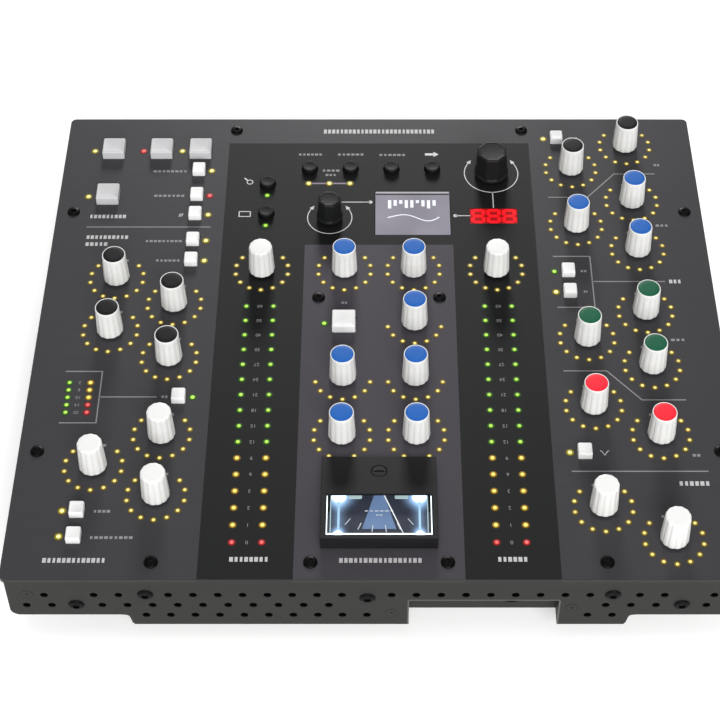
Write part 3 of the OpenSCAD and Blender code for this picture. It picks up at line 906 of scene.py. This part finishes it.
def ring_steps(node):
    """Which of the eleven places of a knob's ring hold a lamp."""
    if node in ("bus_ratio_knob", "bus_attack_knob", "bus_release_knob"):
        return range(-3, 4)
    if node in ("bus_threshold_knob", "bus_makeup_knob"):
        return [i for i in range(-5, 6) if i != 0]
    return range(-5, 6)


def build_rings():
    for node in KNOBS:
        x, y = centre(node)
        points = []
        for i in ring_steps(node):
            a = i * RING_STEP
            points.append((x + RING_R * math.sin(a), y + RING_R * math.cos(a)))
        lamp_group(node.replace("_knob", "_ring_lamps"), points, AMBER)


LEVEL_MARKS = [60, 50, 40, 30, 27, 24, 21, 18, 15, 12, 9, 6, 3, 2, 1, 0]
LEVEL_FIRST = -10.9
LEVEL_STEP = 8.413
LEVEL_COLUMNS = (47.0, 59.0)
CUT_MARKS = [3, 6, 10, 14, 20]
CUT_FIRST = 32.95
CUT_STEP = 4.06
CUT_COLUMNS = (132.8, 123.8)


def build_level_meters():
    """Two double columns of level lamps with the scale between them."""
    for side, sign in (("output", 1), ("input", -1)):
        groups = {"green": [], "orange": [], "red": []}
        for i, number in enumerate(LEVEL_MARKS):
            name = "green" if number >= 12 else ("orange" if number > 0 else "red")
            for column in LEVEL_COLUMNS:
                groups[name].append((sign * column * MM, (LEVEL_FIRST + i * LEVEL_STEP) * MM))
        for name, material in (("green", GREEN), ("orange", ORANGE), ("red", RED)):
            lamp_group(f"{side}_level_{name}_lamps", groups[name], material, COLUMN_LAMP)
        scale = Shape()
        middle = sign * sum(LEVEL_COLUMNS) / 2
        for i, number in enumerate(LEVEL_MARKS):
            digits = number_shape(str(number), 1.75, middle, LEVEL_FIRST + i * LEVEL_STEP)
            scale.add_shape(digits, Matrix.Translation((0, 0, PANEL_Z)))
        piece(f"{side}_level_scale", scale, PRINT_DIM)


def build_gain_lamps():
    """Two columns of gain-change lamps with their scale."""
    rows = [(CUT_FIRST + i * CUT_STEP) * MM for i in range(len(CUT_MARKS))]
    gate, comp = [[(x * MM, y) for y in rows] for x in CUT_COLUMNS]
    lamp_group("gate_cut_lamps", gate, GREEN, COLUMN_LAMP)
    lamp_group("comp_cut_amber_lamps", comp[:3], ORANGE, COLUMN_LAMP)
    lamp_group("comp_cut_red_lamps", comp[3:], RED, COLUMN_LAMP)
    scale = Shape()
    for i, number in enumerate(CUT_MARKS):
        digits = number_shape(str(number), 1.7, sum(CUT_COLUMNS) / 2, CUT_FIRST + i * CUT_STEP)
        scale.add_shape(digits, Matrix.Translation((0, 0, PANEL_Z)))
    piece("cut_scale", scale, PRINT_DIM)


def build_button_lamps():
    """One lamp beside each button that has one, and three in a row above the page selector."""
    side = {
        "solo": (9.3, 0, YELLOW), "cut": (8.9, 0, RED), "fine": (8.9, 0, YELLOW),
        "channel_in": (9.3, 0, YELLOW), "solo_clear": (-6, 0, YELLOW), "sidechain_listen": (-6, 0, RED),
        "polarity": (-6, 0, YELLOW), "gate_fast_attack": (-6, 0, YELLOW), "expander": (-6, 0, YELLOW),
        "dynamics_in": (-6, 0, GREEN), "peak": (6, 0, YELLOW), "comp_fast_attack": (6, 0, YELLOW),
        "low_bell": (6.2, 0, YELLOW), "eq_in": (6.2, 0, GREEN), "eq_type": (6.2, 0, YELLOW),
        "high_bell": (6.2, 0, YELLOW), "bus_in": (8.6, 0, GREEN),
        "magnify": (0, 7.4, GREEN), "window": (0, 7.4, GREEN),
    }
    for name, (dx, dy, material) in side.items():
        x, y = centre(name + "_button")
        lamp_group(name + "_lamp", [(x + dx * MM, y + dy * MM)], material, SIDE_LAMP)
    lamp_group("page_lamps", [(x * MM, y * MM) for x, y in page_places()], YELLOW, SIDE_LAMP)


def page_places():
    """Places in mm of the three page lamps, left to right."""
    x, y = centre("page_selector")
    return [(x / MM + 0.55 + i * 9.75, y / MM - 22.5) for i in (-1, 0, 1)]


# ---- print


def on_panel(shape):
    """The same shape lifted onto the panel's top face."""
    lifted = Shape()
    lifted.add_shape(shape, Matrix.Translation((0, 0, PANEL_Z)))
    return lifted


def printed_lines():
    """White section lines: x, y corners in mm."""
    lines = [
        [(135.2, -59.9), (77.9, -59.9)],
        [(-130.8, -94.9), (-111.5, -94.9), (-97.75, -79.3), (-79.4, -79.3)],
        [(-79.2, -41.3), (-96.0, -41.3), (-96.0, -10.3), (-79.2, -10.3)],
        [(-96.0, -25.8), (-128.7, -25.8)],
        [(-79.5, 26.4), (-98.2, 26.4), (-111.9, 42.4), (-130.7, 42.4)],
        [(-79.4, 80.1), (-135.8, 80.1)],
        [(135.1, 26.7), (119.3, 26.7), (119.3, 54.8), (135.0, 54.8)],
        [(119.3, 40.8), (94.8, 40.8)],
    ]
    shape = Shape()
    for points in lines:
        shape.add_shape(strip(points, 0.55))
    return shape


ARC_FROM = -33


def selector_arc(x, y, r):
    """Arc round a selector with an arrowhead at both ends."""
    shape = strip(arc_points(x, y, r, ARC_FROM, 180 - ARC_FROM, 60), 0.42)
    for side, end in ((1, ARC_FROM), (-1, 180 - ARC_FROM)):
        a = math.radians(end)
        tip = Vector((x + r * math.cos(a), y + r * math.sin(a)))
        along = Vector((math.sin(a), -math.cos(a))) * side
        across = Vector((-along.y, along.x))
        head = [tip + along * 2.5, tip + across * 1.05, tip - across * 1.05]
        if side < 0:
            head = [head[0], head[2], head[1]]
        head = head[::-1]
        shape.add_shape(mark([(p.x, p.y) for p in head]))
    return shape


def dot(x, y, r):
    return mark(arc_points(x, y, r, 0, 345, 23))


def dashes(x, y, length, height=0.75):
    """Row of short blank bars that stands in for a word, centred on x, y."""
    shape = Shape()
    count = max(2, round(length / 2.0))
    pitch = length / count
    for i in range(count):
        mid = x - length / 2 + (i + 0.5) * pitch
        half = pitch * (0.37, 0.30, 0.34, 0.26, 0.38)[(i * 3 + count) % 5]
        outline = [(mid - half, y - height / 2), (mid + half, y - height / 2),
                   (mid + half, y + height / 2), (mid - half, y + height / 2)]
        shape.add_shape(mark(outline))
    return shape


def build_print():
    piece("section_lines", on_panel(printed_lines()), PRINT_DIM)
    arcs = Shape()
    for node, r in (("channel_selector", 12.7), ("page_selector", 10.3)):
        x, y = centre(node)
        arcs.add_shape(selector_arc(x / MM, y / MM, r))
    for a, b in (
        ((17.5, -76.1), (4.0, -76.1)), ((-42.4, -67.2), (-35.5, -67.2)), ((-53.4, -82.8), (-53.4, -72.4)),
    ):
        arcs.add_shape(strip([a, b], 0.45))
    for x, y in ((4.0, -76.1), (-35.5, -67.2)):
        arcs.add_shape(dot(x, y, 0.95))
    piece("selector_marks", on_panel(arcs), PRINT)
    big, small = Shape(), Shape()
    for x, y, length in (
        (126.0, -66.7, 17.2), (125.0, -53.4, 19.6), (129.6, -49.0, 10.6), (121.2, 123.9, 25.4),
        (51.8, 123.4, 15.9), (-53.0, 123.4, 12.3), (-0.5, 123.9, 33.3), (-129.3, 86.3, 13.0),
        (-133.2, -25.8, 5.8),
    ):
        big.add_shape(dashes(x, y, length, 2.2))
    big.add_shape(dashes(0.0, -124.3, 54.0, 2.8))
    for x, y, length in (
        (99.2, -96.7, 16.4), (98.5, -80.3, 14.7), (98.9, -50.9, 17.2), (96.1, -38.7, 11.4),
        (91.5, 40.7, 3.0), (112.4, 100.2, 7.2), (107.4, 113.0, 17.8), (-132.3, -100.9, 3.1),
        (-130.8, -60.8, 6.2), (-130.8, 8.8, 6.6), (-131.8, 71.9, 3.7), (-92.5, -32.2, 3.0),
        (-92.5, -19.7, 1.9), (32.9, -108.2, 11.7), (13.6, -108.2, 13.0), (-6.3, -107.9, 13.0),
        (22.9, -97.2, 8.7), (22.9, -94.2, 5.4), (15.5, -13.0, 3.0),
    ):
        small.add_shape(dashes(x, y, length, 1.3))
    for node in KNOBS:
        x, y = centre(node)
        if "trim" not in node:
            small.add_shape(dashes(x / MM, y / MM - 10.9, 9.0, 1.3))
    piece("section_legends", on_panel(big), PRINT_TEXT)
    piece("control_legends", on_panel(small), PRINT_DIM)
    build_symbols()


def build_symbols():
    """Small plain symbols: polarity, magnifier, window, arrow and two bell curves."""
    marks = Shape()
    x, y = 92.1, -67.6
    marks.add_shape(strip(arc_points(x, y, 0.75, 0, 360, 24), 0.26))
    marks.add_shape(strip([(x - 1.05, y - 1.05), (x + 1.05, y + 1.05)], 0.26))
    x, y = 61.0, -89.4
    marks.add_shape(strip(arc_points(x, y, 1.35, 0, 360, 24), 0.45))
    marks.add_shape(strip([(x + 1.0, y - 1.0), (x + 2.7, y - 2.7)], 0.65))
    x, y = 62.5, -68.3
    corners = ((-2.6, -1.6), (2.6, -1.6), (2.6, 1.6), (-2.6, 1.6), (-2.6, -1.7))
    box = [(x + dx, y + dy) for dx, dy in corners]
    marks.add_shape(strip(box, 0.45))
    x, y = -25.4, -108.3
    marks.add_shape(strip([(x - 0.8, y), (x + 3.4, y)], 1.5))
    marks.add_shape(mark([(x - 3.2, y), (x - 0.7, y - 1.7), (x - 0.7, y + 1.7)]))
    for x, y in ((-93.8, 70.5), (-93.8, -119.0)):
        bell = []
        for i in range(17):
            bell.append((x - 1.9 + 3.8 * i / 16, y - 1.0 + 2.2 * math.exp(-(((i - 8) / 3.6) ** 2))))
        marks.add_shape(strip(bell, 0.28))
    piece("symbols", on_panel(marks), PRINT)
    page = Shape()
    places = page_places()
    for (x0, y0), (x1, y1) in zip(places, places[1:]):
        page.add_shape(strip([(x0 + 1.7, y0), (x1 - 1.7, y1)], 0.9))
    piece("page_link", on_panel(page), LILAC)


# ---- displays


SCREEN_X = (-33.0, 1.7)
SCREEN_Y = (-83.2, -55.2)
DIGITS_X = (-64.4, -42.2)
DIGITS_Y = (-71.9, -62.3)


def screen_graphics():
    """Plain level bars and a curve, which mean nothing in particular."""
    z = PANEL_Z / MM - 0.14
    shape = Shape()
    for i in range(9):
        h = 1.2 + 4.2 * abs(math.sin(0.9 * i + 0.6))
        x = -26.5 + 2.6 * i
        outline = [(x, -77.5), (x + 1.5, -77.5), (x + 1.5, -77.5 + h), (x, -77.5 + h)]
        shape.add_shape(mark(outline, z))
    curve = []
    for i in range(41):
        t = i / 40
        curve.append((-28.0 + 24.0 * t, -66.5 + 3.2 * math.sin(6.6 * t) * math.exp(-1.1 * t)))
    shape.add_shape(strip(curve, 0.55, z))
    return shape


def digit_shape(x, y, w, h, z):
    """One seven-segment digit centred on x, y, with all of its segments lit."""
    t = 1.45
    gap = 0.1
    side, up = w / 2 - t / 2, h / 2 - t / 2
    across = [(0, up), (0, -up), (0, 0)]
    upright = [(side, h / 4), (side, -h / 4), (-side, -h / 4), (-side, h / 4)]
    shape = Shape()
    for places, length, flat in ((across, w - t, True), (upright, up, False)):
        a, b = length / 2 - gap, t / 2
        ends = [(-a, 0), (-a + b, -b), (a - b, -b), (a, 0), (a - b, b), (-a + b, b)]
        for bx, by in places:
            outline = [(x + bx + p, y + by + q) if flat else (x + bx + q, y + by - p) for p, q in ends]
            shape.add_shape(slab(outline, z, z + 0.04))
    return shape


def build_displays():
    z = PANEL_Z / MM
    glass = (z - 0.48, z - 0.16)
    x0, x1 = SCREEN_X
    y0, y1 = SCREEN_Y
    top_edge = block(x0 + 0.2, x1 - 0.2, y0 + 0.2, y0 + 1.3, z - 0.16, z - 0.1)
    divider = block(x0 + 0.2, x1 - 0.2, y0 + 1.3, y0 + 2.2, z - 0.16, z - 0.12)
    piece("screen_glass", block(x0, x1, y0, y1, *glass), SCREEN_LIT)
    piece("screen_top_edge", top_edge, SCREEN_EDGE)
    piece("screen_divider", divider, SCREEN_DARK)
    piece("screen_graphics", screen_graphics(), SCREEN_INK)
    x0, x1 = DIGITS_X
    y0, y1 = DIGITS_Y
    piece("digit_window", block(x0, x1, y0, y1, *glass), DIGIT_DARK)
    digits = Shape()
    for i in (-1, 0, 1):
        digits.add_shape(digit_shape((x0 + x1) / 2 + i * 7.2, (y0 + y1) / 2, 6.4, 9.1, z - 0.15))
    piece("digit_segments", digits, DIGIT_RED)


# ---- meter


PIVOT_Y = 12.9
WINDOW = (-21.35, 21.35, 20.8, 42.6)
LAMP_X = 16.4
LAMP_NEAR = 18.4
LAMP_FAR = 37.6
DIAL_Z = -4.6
NEEDLE_REST = 20.4
NEEDLE_LEN = 27.8
NEEDLE_Z = -3.6
ADJUSTER_Y = 8.3
FRONT_H = 2.2  # height of the low front edge over the panel


def meter_dial_material():
    """Dark blue dial with the light of two strips and four lamps spilling over it."""
    g = Graph("meter_dial")
    x, y = g.xyz()[:2]
    off = g.math("ABSOLUTE", g.minus(g.math("ABSOLUTE", x), LAMP_X * MM))

    def spill(lamp_y, near, far):
        """Round pool of light about the lamps at a height lamp_y in mm."""
        up = g.minus(y, lamp_y * MM)
        squares = g.plus(g.times(off, off), g.times(up, up))
        pool = g.span(g.math("SQRT", squares), 1.0, 0.0, near * MM, far * MM)
        return g.math("POWER", pool, 2.0)

    column = g.times(g.math("POWER", g.span(off, 1.0, 0.0, 0.2 * MM, 5.5 * MM), 2.0), 0.45)
    light = g.plus(spill(LAMP_NEAR, 2.8, 9.5), spill(LAMP_FAR, 0.8, 4.5))
    light = g.plus(light, column)
    haze = g.span(g.noise(0.2, 3), 0.8, 1.15)
    g.set(colour=g.mix(g.noise(0.3, 3), colour(0.012, 0.014, 0.022), colour(0.02, 0.023, 0.035)), rough=0.4)
    g.set(specular=0.2, glow=g.mix(light, colour(0.045, 0.052, 0.085), colour(0.36, 0.62, 1.0)))
    g.set(glow_power=g.times(haze, g.plus(0.55, light)))
    return g.material


def build_meter():
    face = meter_frame()
    low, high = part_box("meter_housing")
    depth = (high.y - low.y) / MM
    half = (high.x - low.x) / MM / 2
    rear_h = (high.z - PANEL_Z) / MM
    base = PANEL_Z / MM
    y0 = low.y / MM
    profile = [(y0, base), (y0 + depth, base), (y0 + depth, base + rear_h), (y0, base + FRONT_H)]
    wedge = loft([[(x, y, z) for y, z in profile] for x in (-half, half)])

    def tilted(shape, y=0.0):
        moved = Shape()
        moved.add_shape(shape, face @ Matrix.Translation((0, y * MM, 0)))
        return moved

    cutters = [
        tilted(block(-21.9, 21.9, 2, depth - 1.1, -12, -1.2)),
        tilted(block(*WINDOW, -3, 2)),
        tilted(lathe([(0, -0.7), (3.3, -0.7), (3.3, 2), (0, 2)], 48), ADJUSTER_Y),
    ]
    bezel = carved(wedge, cutters, 0.35, 25)
    bezel.name = "meter_bezel"
    piece("meter_bezel", bezel, METER_BLACK, "root", None, ["meter_housing"])
    build_meter_inside(face)


def build_meter_inside(face):
    x0, x1, y0, y1 = WINDOW
    pane = block(x0 - 0.3, x1 + 0.3, y0 - 0.3, y1 + 0.3, -2.2, -1.25)
    clear = clear_pane("meter_pane", colour(0.02, 0.025, 0.03))
    piece("meter_window", pane, clear, "root", face)
    dial = block(-21.2, 21.2, 9, 42.4, DIAL_Z - 0.8, DIAL_Z)
    piece("meter_dial", dial, meter_dial_material(), "root", face)
    edge = Shape()
    edge.add_shape(block(x0 + 0.1, x1 - 0.1, y1 - 1.7, y1 - 1.15, -1.25, -1.1))
    for x in (x0 + 0.15, x1 - 0.5):
        edge.add_shape(block(x, x + 0.35, y0 + 0.1, y1 - 1.7, -1.25, -1.1))
    for x in (-LAMP_X, LAMP_X):
        at = Matrix.Translation((x * MM, (y1 - 1.6) * MM, -1.25 * MM)) @ Matrix.Diagonal((1, 0.5, 1, 1))
        edge.add_shape(lathe([(2.0, 0), (1.8, 0.25), (1.0, 0.45), (0, 0.5)], 32), at)
    edge.add_shape(block(-3.2, 3.2, 17.0, 17.25, DIAL_Z, DIAL_Z + 0.3))
    piece("meter_light_edges", edge, COOL, "root", face)
    rails = Shape()
    for x in (x0 + 1.5, x1 - 1.9):
        rails.add_shape(block(x, x + 0.4, 17.0, y1 - 5.0, DIAL_Z, DIAL_Z + 0.5))
    for x in (-9.1, 9.7):
        rails.add_shape(slab(rounded_at(x, 18.3, 5.4, 2.2, 0.5), DIAL_Z, DIAL_Z + 0.4))
    piece("meter_light_rails", rails, COOL_PALE, "root", face)
    lamps = Shape()
    for x in (-LAMP_X, LAMP_X):
        for y, size in ((LAMP_NEAR, 3.0), (LAMP_FAR, 1.0)):
            at = Matrix.Translation((x * MM, y * MM, DIAL_Z * MM))
            lamps.add_shape(lathe([(size, 0), (size * 0.9, 0.4), (size * 0.6, 0.7), (0, 0.8)], 32), at)
    piece("meter_lamps", lamps, COOL, "root", face)
    columns = Shape()
    for x in (-LAMP_X, LAMP_X):
        column = block(x - 0.45, x + 0.45, LAMP_NEAR, LAMP_FAR, DIAL_Z + 0.05, DIAL_Z + 0.4)
        columns.add_shape(column)
    piece("meter_columns", columns, COOL_SOFT, "root", face)
    beam = slab([(-2.1, 17.6), (2.1, 17.6), (6.9, 35.6), (-6.9, 35.6)], DIAL_Z, DIAL_Z + 0.04)
    piece("meter_beam", beam, COOL_DIM, "root", face)
    build_scale(face)
    blade = [(-0.5, -4), (0.5, -4), (0.22, 4), (0.11, NEEDLE_LEN), (-0.11, NEEDLE_LEN), (-0.22, 4)]
    needle = slab(blade, 0, 0.35)
    hub = [(0, -5.6), (0.6, -5.6), (0.6, -0.2), (1.5, -0.2), (1.5, 0.5), (1.1, 0.7), (0, 0.8)]
    needle.add_shape(lathe(hub, 32))
    pivot = Matrix.Translation((0, PIVOT_Y * MM, NEEDLE_Z * MM))
    swing = pivot @ Matrix.Rotation(math.radians(NEEDLE_REST), 4, "Z")
    piece("needle_blade", needle, NEEDLE, "meter_needle", face @ swing, ["meter_needle"])
    screw = lathe([(0, -0.7), (3.1, -0.7), (3.1, -0.25), (2.9, -0.1), (1.2, -0.06), (0, -0.06)], 48)
    slot = block(-2.2, 2.2, -0.45, 0.45, -0.4, 1)
    adjuster = carved(screw, [slot], 0.08)
    adjuster_at = face @ Matrix.Translation((0, ADJUSTER_Y * MM, 0))
    piece("zero_adjuster", adjuster, METER_BLACK, "root", adjuster_at)
    tub = carved(block(-21, 21, 4, 42, -15, -6), [block(-19.8, 19.8, 5.2, 40.8, -13.8, -5)], 0.2)
    tub_at = Matrix.Translation((0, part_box("meter_housing")[0].y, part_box("meter_housing")[0].z + 15 * MM))
    piece("meter_tub", tub, METER_BLACK, "root", tub_at)


def build_scale(face):
    """Six ticks on an arc round the needle's pivot, and two rows of blank marks."""
    shape = Shape()
    for i in range(6):
        a = math.radians(34.0 - 13.6 * i)
        direction = Vector((-math.sin(a), math.cos(a)))
        points = [(direction.x * k, direction.y * k + PIVOT_Y) for k in (20.8, 24.6)]
        shape.add_shape(strip(points, 0.34, DIAL_Z + 0.05))
    for y, length in ((PIVOT_Y + 13.1, 12.4), (PIVOT_Y + 15.3, 3.0)):
        shape.add_shape(dashes(0, y, length, 0.5), Matrix.Translation((0, 0, (DIAL_Z + 0.05) * MM)))
    piece("meter_scale", shape, DIAL_INK, "root", face)


def rounded_at(x, y, w, d, r):
    """Rounded rectangle's outline centred on x, y, in mm."""
    return [(x + px, y + py) for px, py in rounded_outline(w, d, r)]


# ---- screws, feet, sockets


PANEL_SCREWS = [
    (sx * x, y) for sx in (-1, 1)
    for x, y in ((69.0, -125.0), (142.2, -69.6), (142.2, 69.9), (27.0, -16.1), (90.5, 124.9), (27.3, 124.9))
]
REAR_SCREWS = [(-93.3, 32.4), (93.3, 32.4), (-121.5, 25.3), (121.5, 25.3), (4.7, 30.0)]
REAR_STUDS = [(140.4, 32.9), (-140.4, 32.9), (-5.0, 19.5), (-77.5, 23.3)]
REAR_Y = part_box("base_tray")[1].y


def screw_mesh(name, r, h, key, shank):
    """Button-head screw with a hexagonal socket, head on z = 0."""
    profile = [(0, -shank), (1.3, -shank), (1.3, 0), (r, 0), (r, h * 0.25)]
    for i in range(1, 6):
        a = math.radians(18 * i)
        profile.append((r * (0.45 + 0.55 * math.cos(a)), h * (0.25 + 0.75 * math.sin(a))))
    profile.append((0, h))
    socket = lathe([(0, h * 0.2), (key, h * 0.2), (key, h + 1), (0, h + 1)], 6)
    mesh = carved(lathe(profile, 48), [socket], 0.05)
    mesh.name = name
    return mesh


def repeated(name, mesh, places):
    """One mesh with a copy of mesh at every matrix in places."""
    shape = Shape()
    verts = [v.co for v in mesh.vertices]
    faces = [list(p.vertices) for p in mesh.polygons]
    for at in places:
        shape.add(verts, faces, 0.0, at)
    return shape.mesh(name, 30)


def build_screws():
    panel = screw_mesh("panel_screw", 2.9, 0.85, 1.3, 7)
    places = []
    for x, y in PANEL_SCREWS:
        turn = Matrix.Rotation(random.uniform(0, math.tau), 4, "Z")
        places.append(Matrix.Translation((x * MM, y * MM, PANEL_Z)) @ turn)
    screws = repeated("panel_screws", panel, places)
    piece("panel_screws", screws, SCREW_BLACK, "root", None, ["fasteners"])
    rear = screw_mesh("rear_screw", 3.3, 0.9, 1.5, 5)
    places = []
    for x, z in REAR_SCREWS:
        turn = Matrix.Rotation(-math.pi / 2, 4, "X") @ Matrix.Rotation(random.uniform(0, math.tau), 4, "Z")
        places.append(Matrix.Translation((x * MM, REAR_Y, z * MM)) @ turn)
    piece("rear_screws", repeated("rear_screws", rear, places), SCREW_BLACK)
    stud = lathe([(0, -1), (2.1, -1), (2.1, 0.05), (1.9, 0.12), (1.2, 0.08), (0, 0.07)], 32).mesh("stud")
    places = []
    for x, z in REAR_STUDS:
        places.append(Matrix.Translation((x * MM, REAR_Y, z * MM)) @ Matrix.Rotation(-math.pi / 2, 4, "X"))
    piece("rear_studs", repeated("rear_studs", stud, places), STUD)
    gap = lathe([(0, -0.5), (0.6, -0.5), (0.6, 0.11), (0, 0.11)], 6)
    gap.add_shape(lathe([(2.1, -0.5), (2.45, -0.5), (2.45, 0.03), (2.1, 0.03), (2.1, -0.5)], 32))
    gaps = repeated("rear_stud_gaps", gap.mesh("stud_gap"), places)
    piece("rear_stud_gaps", gaps, SCREW_BLACK)


def build_feet():
    """Four turned rubber feet with a screw recess, and their screws."""
    low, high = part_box("feet")
    reach = 11.0
    height = (high.z - low.z) / MM
    profile = [
        (1.9, 4.5), (4, 4.45), (4, 0.3), (4.3, 0), (8.6, 0), (9.2, 0.25), (9.6, 0.8), (10.1, 3),
        (10.9, height - 0.4), (10.9, height), (1.9, height), (1.9, 4.5),
    ]
    foot = lathe(profile, 96).mesh("foot", 40)
    screw = screw_mesh("foot_screw", 3.0, 1.8, 1.2, 11)
    places, screws = [], []
    for x in (low.x + reach * MM, high.x - reach * MM):
        for y in (low.y + reach * MM, high.y - reach * MM):
            places.append(Matrix.Translation((x, y, low.z)))
            screws.append(Matrix.Translation((x, y, low.z + 4.4 * MM)) @ Matrix.Rotation(math.pi, 4, "X"))
    feet = repeated("rubber_feet", foot, places)
    piece("rubber_feet", feet, RUBBER, "root", None, ["feet"])
    piece("foot_screws", repeated("foot_screws", screw, screws), SCREW_BLACK)


# ---- stage


def build_stage():
    """Pale floor, soft lights and the camera, which looks down from behind the unit."""
    floor_mesh = bpy.data.meshes.new("floor")
    size = 6.0
    corners = [(-size, -size, 0), (size, -size, 0), (size, size, 0), (-size, size, 0)]
    floor_mesh.from_pydata(corners, [], [(0, 1, 2, 3)])
    floor = bpy.data.objects.new("floor", floor_mesh)
    bpy.context.scene.collection.objects.link(floor)
    paper = Graph("floor_paper")
    shade = paper.mix(paper.noise(0.02, 2), colour(0.94, 0.94, 0.935), colour(0.96, 0.96, 0.955))
    paper.set(colour=shade, rough=0.8)
    paper.set(specular=0.1, glow=colour(1.0, 1.0, 1.0), glow_power=0.25)
    floor.data.materials.append(paper.material)

    world = bpy.data.worlds.new("studio")
    world.use_nodes = True
    world.node_tree.nodes["Background"].inputs[0].default_value = colour(1.0, 1.0, 1.0)
    world.node_tree.nodes["Background"].inputs[1].default_value = 0.36
    bpy.context.scene.world = world

    target = Vector((0, 0, PANEL_Z))
    for name, place, size, power in (
        ("key", (-0.35, 1.9, 1.25), 1.5, 52.0),
        ("top", (0.1, 0.2, 2.0), 1.0, 5.0),
        ("back", (0.0, -2.4, 1.0), 0.6, 37.0),
    ):
        lamp = bpy.data.lights.new(name, "AREA")
        lamp.shape = "SQUARE"
        lamp.size = size
        lamp.energy = power
        light = bpy.data.objects.new(name, lamp)
        light.location = place
        light.rotation_euler = (target - light.location).to_track_quat("-Z", "Y").to_euler()
        bpy.context.scene.collection.objects.link(light)

    lens = bpy.data.cameras.new("camera")
    lens.lens = 95.8
    lens.sensor_width = 36.0
    lens.shift_x = -0.02556
    lens.shift_y = -0.1488
    lens.clip_start = 0.05
    lens.clip_end = 20
    camera = bpy.data.objects.new("camera", lens)
    camera.location = (0.0003, 0.5555, PANEL_Z + 0.6372)
    camera.rotation_euler = (math.radians(90 - 46.77), 0, math.pi)
    bpy.context.scene.collection.objects.link(camera)
    bpy.context.scene.camera = camera
    bpy.context.scene.view_settings.view_transform = "Standard"


paint_cad_nodes()
build_knobs()
build_selectors()
build_buttons()
build_rings()
build_level_meters()
build_gain_lamps()
build_button_lamps()
build_print()
build_displays()
build_meter()
build_screws()
build_feet()
build_stage()
